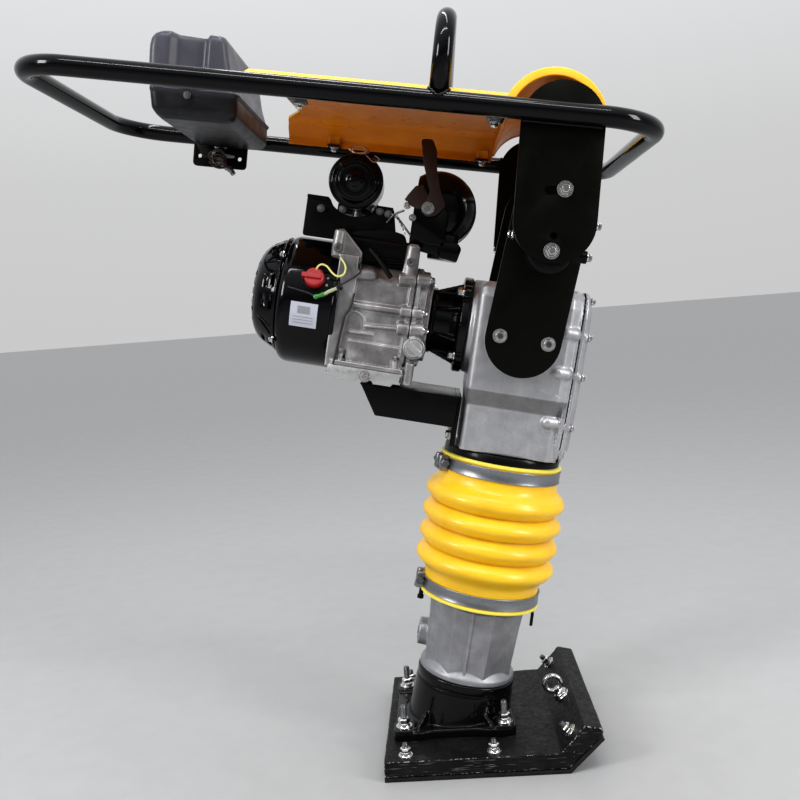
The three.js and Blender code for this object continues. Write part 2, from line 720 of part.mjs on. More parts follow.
function fuelTank() {
  const side = plainShape([[-250, -16], [-240, -30], [-146, -30], [-135, -20], [-136, 56], [-150, 74],
    [-176, 76], [-186, 72], [-222, 72], [-230, 76], [-243, 76], [-252, 66], [-254, 40]]);
  const front = roundedShape([[-110, -24], [-98, -34], [96, -34], [110, -24], [110, 52], [84, 80],
    [-96, 80], [-110, 66]], 10);
  const body = common(prismY(side, -120, 120), prismX(front, -270, -120, 2));
  return join(body, cylZ(26, 50, CAP_BASE, CAP_X, CAP_Y, 18));
}

function tankCap() {
  const cap = new THREE.CylinderGeometry(23, 24, 14, 18).rotateX(Math.PI / 2);
  return cap.translate(CAP_X, CAP_Y, CAP_BASE + GAP + 7);
}

const COCK = [-205, 104, -43.5];

function cockPlate() {
  const plate = box(-249, -166, 111, 115, -59, -14);
  const holes = [-239, -177].map((x) => cylY(3, 100, 120, x, -43.5, 10));
  return cut(plate, ...holes);
}

function fuelCock() {
  const [x, , z] = COCK;
  return join(cylY(11, 90, 110.7, x, z, 14), cylZ(6, z + 4, -30 - GAP, x, 98, 10),
    cylZ(4, z - 26, z - 8, x, 98, 10));
}

function cockLever() {
  const [x, , z] = COCK;
  return join(cylY(7, 84, 90 - GAP, x, z, 12), box(x - 2, x + 26, 84, 88, z - 4, z + 3));
}

// ---- assembly --------------------------------------------------------------------
part(group, 'sole_plate', solePlate(), STEEL);
part(group, 'shoe_board', shoeBoard(), WOOD_BLACK);
part(group, 'foot_casting', footCasting(), BLACK_PAINT);
part(group, 'eye_bolt', eyeBolt(), STEEL);

part(leg, 'spring_cylinder', springCylinder(), ALUMINIUM);
part(leg, 'spring_cap', springCap(), STEEL);
part(leg, 'lower_spring', spring(96, 160, 4), STEEL);
part(leg, 'upper_spring', spring(184, 294, 6), STEEL);
part(leg, 'lower_clamp', clampBand(83.7, RIM_BOTTOM_S + 4), STEEL);
part(leg, 'ram_piston', ramPiston(), STEEL);
part(leg, 'wrist_pin', cylX(5.6, -9, 9, 0, WRIST_S, 12), STEEL);
part(leg, 'connecting_rod', connectingRod(), STEEL);
part(leg, 'guide_tube', guideTube(), BLACK_PAINT);
part(leg, 'bellows', bellows(), YELLOW);
part(leg, 'upper_clamp', clampBand(84.9, RIM_TOP_S - 4 - BAND_HEIGHT), STEEL);

part(leg, 'crankcase_housing', crankcaseHousing(), ALUMINIUM);
part(leg, 'crankcase_cover', crankcaseCover(), ALUMINIUM);
part(leg, 'crank_bearing', crankBearing(), STEEL);
part(leg, 'crank_gear', crankGear(), STEEL);
part(leg, 'pinion_shaft', pinionShaft(), STEEL);
part(leg, 'clutch_housing', clutchHousing(), BLACK_PAINT);
part(leg, 'clutch_drum', clutchDrum(), STEEL);
part(leg, 'clutch_shoes', clutchShoes(), STEEL);
for (const [side, hand] of [['right', -1], ['left', 1]]) {
  part(leg, `arm_plate_${side}`, armPlate(hand), BLACK_PAINT);
  part(leg, `rubber_mount_${side}`, rubberMount(hand), RUBBER);
  part(handle, `handle_plate_${side}`, handlePlate(hand), BLACK_PAINT);
}

part(leg, 'engine_block', engineBlock(), ALUMINIUM);
part(leg, 'engine_side_cover', sideCover(), ALUMINIUM);
part(leg, 'engine_base', engineBase(), ALUMINIUM);
part(leg, 'engine_bracket', engineBracket(), BLACK_PAINT);
part(leg, 'cylinder_head', cylinderHead(), ALUMINIUM);
part(leg, 'spark_plug', sparkPlug(), STEEL);
part(leg, 'cylinder_shroud', cylinderShroud(), BLACK_PAINT);
part(leg, 'crankshaft', crankshaft(), STEEL);
part(leg, 'flywheel', flywheel(), ALUMINIUM);
part(leg, 'fan_housing', fanHousing(), BLACK_PLASTIC);
part(leg, 'recoil_cover', recoilCover(), BLACK_PLASTIC);
part(leg, 'recoil_pulley', recoilPulley(), BLACK_PLASTIC);
part(leg, 'starter_grip', starterGrip(), RUBBER);
part(leg, 'stop_switch', stopSwitch(), RED);
part(leg, 'oil_plug', oilPlug(), ALUMINIUM);
part(leg, 'air_cleaner_case', airCleanerCase(), BLACK_PLASTIC);
part(leg, 'air_cleaner_cap', airCleanerCap(), BLACK_PLASTIC);
part(leg, 'air_cleaner_bracket', airBracket(), BLACK_PAINT);
part(leg, 'carburettor', carburettor(), ALUMINIUM);
part(leg, 'choke_lever', chokeLever(), STEEL);
part(leg, 'muffler', muffler(), BLACK_PAINT);
part(leg, 'throttle_lever', throttleLever(), STEEL);

part(handle, 'handle_ring', handleRing(), BLACK_PAINT);
part(handle, 'lift_hoop', liftHoop(), BLACK_PAINT);
part(handle, 'handle_cover', handleCover(), YELLOW);
part(handle, 'fuel_tank', fuelTank(), TANK_GREY);
part(handle, 'tank_cap', tankCap(), BLACK_PLASTIC);
part(handle, 'cock_plate', cockPlate(), BLACK_PAINT);
part(handle, 'fuel_cock', fuelCock(), STEEL);
part(handle, 'cock_lever', cockLever(), STEEL);

export default group;
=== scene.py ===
from math import cos, pi, radians, sin, sqrt, tan

import bmesh
import bpy
from mathutils import Matrix, Vector, noise


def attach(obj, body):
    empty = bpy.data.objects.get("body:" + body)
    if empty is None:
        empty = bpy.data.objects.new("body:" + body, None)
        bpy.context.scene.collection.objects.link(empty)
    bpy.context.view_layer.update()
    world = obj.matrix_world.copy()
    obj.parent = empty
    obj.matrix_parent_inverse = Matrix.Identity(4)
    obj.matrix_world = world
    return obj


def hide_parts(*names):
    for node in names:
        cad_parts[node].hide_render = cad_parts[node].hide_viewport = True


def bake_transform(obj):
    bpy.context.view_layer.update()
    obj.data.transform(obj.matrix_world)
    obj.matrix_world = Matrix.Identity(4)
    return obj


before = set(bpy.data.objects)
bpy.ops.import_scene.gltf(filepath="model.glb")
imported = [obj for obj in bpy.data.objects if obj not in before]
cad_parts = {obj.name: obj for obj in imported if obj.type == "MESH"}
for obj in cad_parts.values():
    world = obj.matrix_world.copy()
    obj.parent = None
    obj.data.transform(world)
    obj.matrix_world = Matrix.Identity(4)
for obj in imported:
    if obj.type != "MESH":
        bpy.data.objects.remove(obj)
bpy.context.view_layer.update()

# Local shapes are written in millimetres in one of three frames: the floor's, the leaning leg's
# (forward, left, up the leg) and the tilted handle's (forward, left, up from the ring).
MM = 0.001
LEG_LEAN = 13.03
HANDLE_TILT = 10.17


def placed(origin, tilt):
    return Matrix.Scale(MM, 4) @ Matrix.Translation(origin) @ Matrix.Rotation(radians(tilt), 4, "Y")


FLOOR = placed((0, 0, 0), 0)
LEG = placed((94.3, 0, 28.8), LEG_LEAN)
HANDLE = placed((0, 0, 892), HANDLE_TILT)

# ---- driving dimensions, in millimetres -------------------------------------------
SHOE_REAR = -10.7
SHOE_HALF = 142.5
SHOE_TOP = 28.8
SHOE_BEND = 226.3
SOLE_THICK = 6
NOSE_ANGLE = radians(43.5)
NOSE_START = 239.3
NOSE_TIP = 286.3
FOOT_TOP = 43.5
FOOT_MIDDLE = 87.3
STUDS = [(16.3, -70), (158.3, -70), (16.3, 70), (158.3, 70)]
BOARD_NUTS = [(19.3, -125), (139.3, -125), (19.3, 125), (139.3, 125)]
SHAFT_S = 569.5
RIM_TOP = 388
RIM_BOTTOM = 184
BAND = 17
ARM_OUT = 114
ARM_IN = 106
PLATE_OUT = 197
PLATE_IN = 189
RING_LENGTH = 393.5
RING_WIDTH = 209.65
RING_CORNER = 72
TUBE_R = 12.4
HOOP_X = 126
HOOP_TOP = 106
HOOP_BEND = 46


# ---- shapes: (points, faces) ------------------------------------------------------
def merged(*shapes):
    points, faces = [], []
    for some_points, some_faces in shapes:
        base = len(points)
        points += some_points
        faces += [[base + i for i in face] for face in some_faces]
    return points, faces


def moved(shape, matrix):
    return [tuple(matrix @ Vector(p)) for p in shape[0]], shape[1]


def shifted(shape, x=0, y=0, z=0):
    return [(p[0] + x, p[1] + y, p[2] + z) for p in shape[0]], shape[1]


def aimed(shape, at, towards):
    """The shape's +z turned towards a direction, and its origin set at a point."""
    turn = Vector((0, 0, 1)).rotation_difference(Vector(towards)).to_matrix().to_4x4()
    return moved(shape, Matrix.Translation(at) @ turn)


TURNED_AXES = {
    "x": lambda c, s, t: (t, c, s),
    "y": lambda c, s, t: (s, t, c),
    "z": lambda c, s, t: (c, s, t),
}


def turned(profile, axis="z", at=(0, 0, 0), steps=64, ring=False, start=0.0):
    """(radius, place) pairs turned about an axis, from axis to axis or closed as a ring."""
    put = TURNED_AXES[axis]
    points, rows, faces = [], [], []
    for r, t in profile:
        if r < 1e-6:
            rows.append([len(points)] * steps)
            points.append(put(0, 0, t))
            continue
        rows.append(range(len(points), len(points) + steps))
        for k in range(steps):
            angle = start + 2 * pi * k / steps
            points.append(put(r * cos(angle), r * sin(angle), t))
    pairs = list(zip(rows, rows[1:]))
    if ring:
        pairs.append((rows[-1], rows[0]))
    for low, high in pairs:
        for k in range(steps):
            n = (k + 1) % steps
            face = list(dict.fromkeys((low[k], low[n], high[n], high[k])))
            if len(face) > 2:
                faces.append(face)
    return shifted((points, faces), *at)


PRISM_AXES = {
    "x": lambda u, v, w: (w, u, v),
    "y": lambda u, v, w: (u, w, v),
    "z": lambda u, v, w: (u, v, w),
}


def prism(outline, low, high, axis="y"):
    put = PRISM_AXES[axis]
    n = len(outline)
    points = [put(u, v, w) for w in (low, high) for u, v in outline]
    faces = [list(range(n)), list(range(n, 2 * n))]
    faces += [[k, (k + 1) % n, n + (k + 1) % n, n + k] for k in range(n)]
    return points, faces


def block(x0, x1, y0, y1, z0, z1):
    return prism([(x0, z0), (x1, z0), (x1, z1), (x0, z1)], y0, y1)


def tube(path, radius, sides=16, closed=False):
    """A round tube along a path. The radius is a number or a function of the step's share of the way."""
    spine = [Vector(p) for p in path]
    count = len(spine)
    points, faces = [], []
    normal = None
    for i, p in enumerate(spine):
        ahead = spine[(i + 1) % count] if closed or i < count - 1 else p
        behind = spine[i - 1] if closed or i > 0 else p
        along = (ahead - behind).normalized()
        if normal is None:
            normal = along.orthogonal()
        normal = (normal - along * normal.dot(along)).normalized()
        side = along.cross(normal)
        r = radius(i / count) if callable(radius) else radius
        for k in range(sides):
            angle = 2 * pi * k / sides
            points.append(tuple(p + normal * r * cos(angle) + side * r * sin(angle)))
    for i in range(count if closed else count - 1):
        for k in range(sides):
            n = (k + 1) % sides
            j = (i + 1) % count
            faces.append([i * sides + k, i * sides + n, j * sides + n, j * sides + k])
    if not closed:
        faces += [list(range(sides)), list(range((count - 1) * sides, count * sides))]
    return points, faces


def curve_through(points, steps=8):
    """Catmull-Rom points through the given ones."""
    spine = [Vector(p) for p in points]
    spine = [2 * spine[0] - spine[1], *spine, 2 * spine[-1] - spine[-2]]
    path = []
    for a, b, c, d in zip(spine, spine[1:], spine[2:], spine[3:]):
        for i in range(steps):
            t = i / steps
            path.append(0.5 * (2 * b + (c - a) * t + (2 * a - 5 * b + 4 * c - d) * t * t
                               + (3 * b - a - 3 * c + d) * t ** 3))
    return [*path, spine[-2]]


def rounded(points, radius, steps=5):
    """An outline with its corners rounded."""
    outline = []
    corners = [Vector(p) for p in points]
    for i, corner in enumerate(corners):
        before = corners[i - 1] - corner
        after = corners[(i + 1) % len(corners)] - corner
        reach = min(radius, before.length / 2.01, after.length / 2.01)
        first = corner + before.normalized() * reach
        last = corner + after.normalized() * reach
        for k in range(steps + 1):
            t = k / steps
            outline.append(tuple(first * (1 - t) ** 2 + corner * 2 * t * (1 - t) + last * t * t))
    return outline


def stadium(x0, z0, x1, z1, r, steps=24):
    along = Vector((x1 - x0, z1 - z0)).normalized()
    side = Vector((-along.y, along.x))
    outline = []
    for x, z, way in ((x0, z0, -1), (x1, z1, 1)):
        for k in range(steps + 1):
            turn = pi * k / steps
            out = side * cos(turn) * -way + along * sin(turn) * way
            outline.append((x + r * out.x, z + r * out.y))
    return outline


def disc(x, z, r, steps=48):
    return [(x + r * cos(2 * pi * k / steps), z + r * sin(2 * pi * k / steps)) for k in range(steps)]


# ---- fasteners --------------------------------------------------------------------
def washer(r, bore=0, thick=1.8):
    edge = 0.3
    if bore:
        profile = [(bore, 0), (r - edge, 0), (r, edge), (r, thick - edge), (r - edge, thick), (bore, thick)]
        return turned(profile, steps=36, ring=True)
    return turned([(0, 0), (r, 0), (r, thick - edge), (r - edge, thick), (0, thick)], steps=36)


def hexagon(r, low, high):
    crown = 0.13 * r
    profile = [(0, low), (r * 0.9, low), (r, low + crown), (r, high - crown), (r * 0.88, high), (0, high)]
    return turned(profile, steps=6)


def thread(r, low, high, pitch=1.6):
    profile = [(0, low)]
    count = int((high - low) / pitch)
    for i in range(count):
        base = low + i * pitch
        profile += [(r * 0.86, base), (r, base + pitch * 0.5)]
    return turned([*profile, (r * 0.8, high), (0, high)], steps=20)


def hex_bolt(at, towards, r=8, height=7, plate=11):
    head = merged(washer(plate), hexagon(r, 1.8, 1.8 + height),
                  turned([(0, 1.8 + height), (r * 0.6, 1.8 + height), (r * 0.5, 2.6 + height),
                          (0, 2.6 + height)], steps=24))
    return aimed(head, at, towards)


def cap_screw(at, towards, r=6.5, height=7, plate=9.5):
    socket = r * 0.52
    profile = [(0, 1.8), (r, 1.8), (r, 1.2 + height), (r - 0.7, 1.8 + height), (socket, 1.8 + height),
               (socket, height - 1.5), (0, height - 1.5)]
    return aimed(merged(washer(plate), turned(profile, steps=30)), at, towards)


def washered_nut(at, towards, r, nut, plate, shank):
    lock = turned([(shank, 2), (plate * 0.74, 2), (plate * 0.74, 4.8), (shank, 4.8)], steps=30, ring=True)
    collar = turned([(shank, 5 + nut), (r * 0.8, 5 + nut), (r * 0.7, 5.6 + nut), (shank, 5.6 + nut)],
                    steps=30, ring=True)
    return aimed(merged(washer(plate, thick=2), lock, hexagon(r, 5, 5 + nut), collar), at, towards)


def stud(at, towards, r, length):
    return aimed(thread(r, 1, length), at, towards)


# ---- meshes and pieces ------------------------------------------------------------
def evaluated_mesh(obj):
    bpy.context.view_layer.update()
    depsgraph = bpy.context.evaluated_depsgraph_get()
    return bpy.data.meshes.new_from_object(obj.evaluated_get(depsgraph))


def bake_modifiers(obj):
    mesh = evaluated_mesh(obj)
    obj.modifiers.clear()
    obj.data = mesh


def mesh_object(name, shape, where):
    mesh = bpy.data.meshes.new(name)
    points, faces = shape
    mesh.from_pydata([where @ Vector(p) for p in points], [], faces)
    work = bmesh.new()
    work.from_mesh(mesh)
    bmesh.ops.recalc_face_normals(work, faces=work.faces)
    work.to_mesh(mesh)
    work.free()
    obj = bpy.data.objects.new(name, mesh)
    bpy.context.scene.collection.objects.link(obj)
    return obj


def bevelled(obj, width, segments=2):
    bevel = obj.modifiers.new("edges", "BEVEL")
    bevel.width = width * MM
    bevel.segments = segments
    bevel.limit_method = "ANGLE"
    bevel.angle_limit = radians(35)
    bake_modifiers(obj)


def cast(obj, voxel, rounds):
    """Joins overlapping shapes into one skin with softened inner corners, as a casting has."""
    skin = obj.modifiers.new("skin", "REMESH")
    skin.mode = "VOXEL"
    skin.voxel_size = voxel * MM
    if rounds:
        soft = obj.modifiers.new("soft", "SMOOTH")
        soft.factor = 0.5
        soft.iterations = rounds
    bake_modifiers(obj)


def cut_away(obj, shape, where):
    cutter = mesh_object("cutter", shape, where)
    cut = obj.modifiers.new("cut", "BOOLEAN")
    cut.operation = "DIFFERENCE"
    cut.solver = "MANIFOLD"
    cut.object = cutter
    bake_modifiers(obj)
    bpy.data.objects.remove(cutter)


def piece(where, body, name, shape, material, *replaces, slot=None, bevel=0, voxel=0, rounds=2, cuts=None,
          sharp=38, segments=2):
    """One visible piece in a frame, riding on a body, in place of the CAD nodes it replaces."""
    obj = mesh_object(name, shape, where)
    if voxel:
        cast(obj, voxel, rounds)
    if cuts:
        cut_away(obj, cuts, where)
    if bevel:
        bevelled(obj, bevel, segments)
    obj.data.shade_smooth()
    obj.data.set_sharp_from_angle(angle=radians(sharp))
    obj.data.materials.clear()
    obj.data.materials.append(material)
    if body:
        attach(obj, body)
    if replaces:
        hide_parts(*replaces)
    return obj


def on_shoe(name, *rest, **options):
    return piece(FLOOR, "foot", name, *rest, **options)


def on_foot(name, *rest, **options):
    return piece(LEG, "foot", name, *rest, **options)


def on_machine(name, *rest, **options):
    return piece(LEG, "machine", name, *rest, **options)


def on_handle(name, *rest, **options):
    return piece(HANDLE, "handle", name, *rest, **options)


def push_points(obj, offset):
    """Moves each point along its normal by offset(point, normal), in millimetres."""
    normals = [vertex.normal.copy() for vertex in obj.data.vertices]
    for vertex, normal in zip(obj.data.vertices, normals):
        vertex.co += normal * (offset(vertex.co / MM, normal) * MM)


# ---- materials --------------------------------------------------------------------
def set_stops(ramp, stops):
    """Gives a colour ramp its (place, grey level or colour) stops."""
    elements = ramp.color_ramp.elements
    while len(elements) < len(stops):
        elements.new(0.5)
    for element, (place, value) in zip(elements, stops):
        element.position = place
        element.color = (*value, 1) if isinstance(value, tuple) else (value, value, value, 1)


class Look:
    """A Principled material whose colour, roughness and relief come from noise on the object itself."""

    def __init__(self, name, metallic=0.0, **inputs):
        self.material = bpy.data.materials.new(name)
        self.material.use_nodes = True
        self.tree = self.material.node_tree
        self.shader = self.tree.nodes["Principled BSDF"]
        self.shader.inputs["Metallic"].default_value = metallic
        for socket, value in inputs.items():
            self.shader.inputs[socket.replace("_", " ")].default_value = value
        self.place = self.tree.nodes.new("ShaderNodeTexCoord").outputs["Object"]

    def node(self, kind, **settings):
        made = self.tree.nodes.new("ShaderNode" + kind)
        for key, value in settings.items():
            setattr(made, key, value)
        return made

    def join(self, source, target):
        self.tree.links.new(source, target)

    def noise(self, size, detail=3.0, stretch=(1, 1, 1), tilt=0.0):
        """Noise with grains of a size in millimetres, longer along an axis where stretch is above 1."""
        mapping = self.node("Mapping")
        mapping.vector_type = "TEXTURE"
        mapping.inputs["Scale"].default_value = stretch
        mapping.inputs["Rotation"].default_value = (0, radians(tilt), 0)
        self.join(self.place, mapping.inputs["Vector"])
        made = self.node("TexNoise")
        made.inputs["Scale"].default_value = 1000 / size
        made.inputs["Detail"].default_value = detail
        self.join(mapping.outputs["Vector"], made.inputs["Vector"])
        return made.outputs["Fac"]

    def ramp(self, source, *stops):
        made = self.node("ValToRGB")
        set_stops(made, stops)
        self.join(source, made.inputs["Fac"])
        return made.outputs["Color"]

    def mix(self, share, first, second, blend="MIX"):
        made = self.node("Mix", data_type="RGBA", blend_type=blend)
        for value, socket in ((share, made.inputs[0]), (first, made.inputs[6]), (second, made.inputs[7])):
            if isinstance(value, bpy.types.NodeSocket):
                self.join(value, socket)
            elif isinstance(value, tuple):
                socket.default_value = (*value, 1)
            else:
                socket.default_value = value
        return made.outputs[2]

    def edges(self, low=0.5, high=0.56):
        """Zero in hollows and on flats, one on sharp outer edges."""
        geometry = self.node("NewGeometry")
        return self.ramp(geometry.outputs["Pointiness"], (low, 0.0), (high, 1.0))

    def facing(self, axis, low, high):
        """How far the surface faces along an axis, from low to high."""
        split = self.node("SeparateXYZ")
        geometry = self.node("NewGeometry")
        self.join(geometry.outputs["Normal"], split.inputs["Vector"])
        scaled = self.node("MapRange")
        scaled.inputs["From Min"].default_value = -1
        self.join(split.outputs[axis], scaled.inputs["Value"])
        return self.ramp(scaled.outputs["Result"], (low, 0.0), (high, 1.0))

    def above(self, axis, low, high):
        """Zero below one place along an axis of the object's frame, one above another, in metres."""
        reach = self.node("VectorMath", operation="DOT_PRODUCT")
        reach.inputs[1].default_value = axis
        self.join(self.place, reach.inputs[0])
        scaled = self.node("MapRange")
        scaled.inputs["From Min"].default_value = low
        scaled.inputs["From Max"].default_value = high
        self.join(reach.outputs["Value"], scaled.inputs["Value"])
        return scaled.outputs["Result"]

    def along_leg(self, low, high, edge=2):
        """One between two places along the leaning leg, in millimetres of the leg frame, zero outside."""
        axis = (LEG.to_3x3() @ Vector((0, 0, 1))).normalized()
        start = axis.dot(LEG.translation)
        rise = self.above(axis, start + (low - edge) * MM, start + low * MM)
        fall = self.above(axis, start + high * MM, start + (high + edge) * MM)
        within = self.node("Math", operation="SUBTRACT")
        self.join(rise, within.inputs[0])
        self.join(fall, within.inputs[1])
        return within.outputs[0]

    def colour(self, source):
        self.join(source, self.shader.inputs["Base Color"])

    def roughness(self, source, low, high):
        self.join(self.ramp(source, (0.3, low), (0.7, high)), self.shader.inputs["Roughness"])
        return self

    def relief(self, *layers):
        """Bump layers of (height source, depth in millimetres)."""
        before = None
        for source, depth in layers:
            bump = self.node("Bump")
            bump.inputs["Distance"].default_value = depth * MM
            self.join(source, bump.inputs["Height"])
            if before:
                self.join(before, bump.inputs["Normal"])
            before = bump.outputs["Normal"]
        self.join(before, self.shader.inputs["Normal"])


def gloss_black(name, low, high, rough=(0.16, 0.3), orange_peel=0.08, coat=0.3):
    look = Look(name, Specular_IOR_Level=0.12, Coat_Weight=coat, Coat_Roughness=0.07)
    look.colour(look.mix(look.noise(60), low, high))
    look.roughness(look.noise(35), *rough)
    look.relief((look.noise(7, 2), orange_peel), (look.noise(0.7, 2), 0.012))
    return look.material


def plate_paint():
    look = Look("plate_powder_coat", Specular_IOR_Level=0.13)
    tint = look.mix(look.noise(70, 1), (0.0012, 0.0012, 0.0012), (0.0042, 0.002, 0.001))
    look.colour(look.mix(look.noise(50, 1), tint, (0.0018, 0.003, 0.0012)))
    look.roughness(look.noise(30), 0.3, 0.44)
    look.relief((look.noise(1.6, 2), 0.06), (look.noise(20, 2), 0.1))
    return look.material


def aluminium(name, dark, mid, light, rough=(0.34, 0.52), grain=0.1, lean=LEG_LEAN, shade=None):
    look = Look(name, metallic=0.6)
    base = look.ramp(look.noise(22, 5), (0.3, dark), (0.55, mid), (0.8, light))
    fine = look.ramp(look.noise(1.1, 3), (0.3, 0.84), (0.7, 1.06))
    base = look.mix(1.0, base, fine, "MULTIPLY")
    streaks = look.ramp(look.noise(4, 3, (1, 1, 7), lean), (0.3, 0.96), (0.75, 1.03))
    base = look.mix(1.0, base, streaks, "MULTIPLY")
    # shade darkens a band along the leg to 55%: a painted shadow
    if shade:
        base = look.mix(look.along_leg(*shade), base, look.mix(1.0, base, (0.55, 0.55, 0.55), "MULTIPLY"))
    look.colour(look.mix(look.edges(0.515, 0.6), base, tuple(min(1, 1.35 * v) for v in light)))
    look.roughness(look.noise(9, 4), *rough)
    look.relief((look.noise(1.3, 3), grain), (look.noise(14, 3), 0.2))
    return look.material


def steel(name, dark, light, rough=(0.2, 0.36), stretch=(1, 1, 1), grain=0.02):
    look = Look(name, metallic=1.0)
    base = look.ramp(look.noise(3, 4, stretch, LEG_LEAN), (0.3, dark), (0.7, light))
    look.colour(look.mix(look.edges(0.52, 0.62), base, tuple(min(1, 1.2 * v) for v in light)))
    look.roughness(look.noise(2, 3, stretch, LEG_LEAN), *rough)
    look.relief((look.noise(0.8, 3, stretch, LEG_LEAN), grain))
    return look.material


def bellows_rubber():
    look = Look("bellows_yellow", Subsurface_Weight=0.12, Subsurface_Radius=(0.004, 0.002, 0.0006),
                Coat_Weight=0.15, Coat_Roughness=0.2)
    base = look.ramp(look.noise(45, 3), (0.3, (0.86, 0.5, 0.012)), (0.7, (0.93, 0.58, 0.02)))
    # Painted shade: pointiness darkens and browns the hollows between the rolls, standing in for the shade in
    # the creases
    hollow = look.node("NewGeometry")
    crease_shade = look.ramp(hollow.outputs["Pointiness"], (0.4, (0.5, 0.36, 0.2)), (0.485, (1.0, 1.0, 1.0)))
    base = look.mix(1.0, base, crease_shade, "MULTIPLY")
    dust = look.ramp(look.noise(40, 5), (0.55, 0.0), (0.85, 0.1))
    look.colour(look.mix(dust, base, (0.98, 0.72, 0.22)))
    look.roughness(look.noise(12, 4), 0.3, 0.44)
    look.relief((look.noise(9, 2), 0.12), (look.noise(0.9, 2), 0.02))
    return look.material


def cover_plastic(name, low, high):
    look = Look(name, Specular_IOR_Level=0.12, Subsurface_Weight=0.15,
                Subsurface_Radius=(0.012, 0.006, 0.001))
    # Painted light and shade: faces turned up take a lit pale yellow and faces turned down a shaded deep
    # orange, standing in for light coming through the plastic from above; low and high set where the facing
    # ramp changes over
    above = look.ramp(look.noise(60, 3), (0.3, (0.94, 0.54, 0.05)), (0.7, (0.98, 0.62, 0.08)))
    below = look.ramp(look.noise(50, 3), (0.3, (0.7, 0.2, 0.003)), (0.7, (0.82, 0.25, 0.005)))
    streak = look.ramp(look.noise(30, 2, (9, 1, 1), HANDLE_TILT), (0.3, 0.92), (0.7, 1.04))
    below = look.mix(1.0, below, streak, "MULTIPLY")
    look.colour(look.mix(look.facing("Z", low, high), below, above))
    look.roughness(look.noise(20, 4), 0.26, 0.4)
    look.relief((look.noise(2.2, 3), 0.03), (look.noise(40, 2), 0.5))
    return look.material


def tank_plastic():
    look = Look("tank_plastic", Specular_IOR_Level=0.4)
    base = look.ramp(look.noise(50, 3), (0.3, (0.05, 0.05, 0.066)), (0.7, (0.072, 0.07, 0.088)))
    # Painted shade: below the seam (0.876 to 0.892 m along the tilted handle's up axis) the tank turns near
    # black, standing in for the shade the handle tube throws on its lower half
    base = look.mix(look.above((sin(radians(HANDLE_TILT)), 0, cos(radians(HANDLE_TILT))), 0.876, 0.892),
                    (0.01, 0.01, 0.012), base)
    scuff = look.ramp(look.noise(3, 6, (6, 1, 1)), (0.62, 0.0), (0.76, 0.12))
    look.colour(look.mix(scuff, base, (0.2, 0.2, 0.22)))
    look.roughness(look.noise(16, 4), 0.3, 0.42)
    look.relief((look.noise(1.0, 2), 0.03), (look.noise(25, 2), 0.4))
    return look.material


def shoe_laminate():
    look = Look("shoe_laminate", Specular_IOR_Level=0.22)
    base = look.ramp(look.noise(25, 5), (0.3, (0.003, 0.003, 0.0034)), (0.75, (0.009, 0.009, 0.0095)))
    dust = look.ramp(look.noise(70, 6), (0.55, 0.0), (0.85, 0.3))
    base = look.mix(dust, base, (0.035, 0.035, 0.035))
    scratch = look.ramp(look.noise(1.4, 5, (18, 8, 1)), (0.6, 0.0), (0.68, 0.7))
    sides = look.ramp(look.facing("Z", 0.2, 0.8), (0.35, 1.0), (0.6, 0.08))
    scratch = look.mix(1.0, scratch, sides, "MULTIPLY")
    base = look.mix(scratch, base, (0.32, 0.32, 0.31))
    chips = look.mix(1.0, look.edges(0.52, 0.56), look.ramp(look.noise(3, 6), (0.54, 0.0), (0.58, 0.9)),
                     "MULTIPLY")
    look.colour(look.mix(chips, base, (0.6, 0.6, 0.58)))
    look.roughness(look.noise(6, 5), 0.38, 0.62)
    look.relief((look.noise(2.0, 5, (10, 8, 1)), 0.35), (look.noise(0.9, 3), 0.08))
    return look.material


def plain(name, low, high, rough=(0.35, 0.55), size=6, depth=0.05, **inputs):
    look = Look(name, **inputs)
    look.colour(look.mix(look.noise(size, 4), low, high))
    look.roughness(look.noise(size * 1.7, 3), *rough)
    look.relief((look.noise(size / 3, 3), depth))
    return look.material


TUBE_BLACK = gloss_black("tube_gloss_black", (0.0014, 0.0014, 0.002), (0.0028, 0.0028, 0.0038), (0.1, 0.18))
FOOT_BLACK = gloss_black("foot_gloss_black", (0.002, 0.002, 0.0024), (0.004, 0.004, 0.0045), orange_peel=0.25)
FAN_BLACK = gloss_black("fan_gloss_black", (0.0012, 0.0012, 0.0018), (0.0026, 0.0026, 0.0036), (0.1, 0.18),
                        0.04)
SATIN_BLACK = gloss_black("bracket_satin_black", (0.002, 0.002, 0.0024), (0.005, 0.0046, 0.005), (0.25, 0.4),
                          coat=0.1)
PLATE_BLACK = plate_paint()
CASE_TONES = ((0.39, 0.39, 0.405), (0.45, 0.45, 0.465), (0.52, 0.52, 0.535))
CASE_ALUMINIUM = aluminium("case_aluminium", *CASE_TONES)
# Painted shadow: the crankcase is darkened in a band 467 to 487 mm up the leg, where its shoulder widens
BODY_ALUMINIUM = aluminium("case_body_aluminium", *CASE_TONES, shade=(467, 487))
LEG_ALUMINIUM = aluminium("leg_aluminium", (0.27, 0.27, 0.285), (0.33, 0.33, 0.345), (0.4, 0.4, 0.415))
ENGINE_ALUMINIUM = aluminium("engine_aluminium", (0.2, 0.19, 0.19), (0.31, 0.3, 0.3), (0.56, 0.555, 0.56),
                             grain=0.14)
ZINC = steel("zinc_plate", (0.34, 0.34, 0.34), (0.66, 0.66, 0.65), (0.16, 0.28))
BAND_STEEL = steel("band_steel", (0.24, 0.25, 0.27), (0.33, 0.34, 0.36), (0.3, 0.42), (1, 1, 0.2))
DARK_STEEL = steel("oiled_steel", (0.16, 0.16, 0.16), (0.3, 0.3, 0.3), (0.28, 0.45))
THREAD_STEEL = steel("thread_steel", (0.05, 0.05, 0.052), (0.16, 0.16, 0.165), (0.3, 0.45))
BARE_STEEL = steel("bare_steel", (0.4, 0.4, 0.41), (0.56, 0.56, 0.57), (0.2, 0.36))
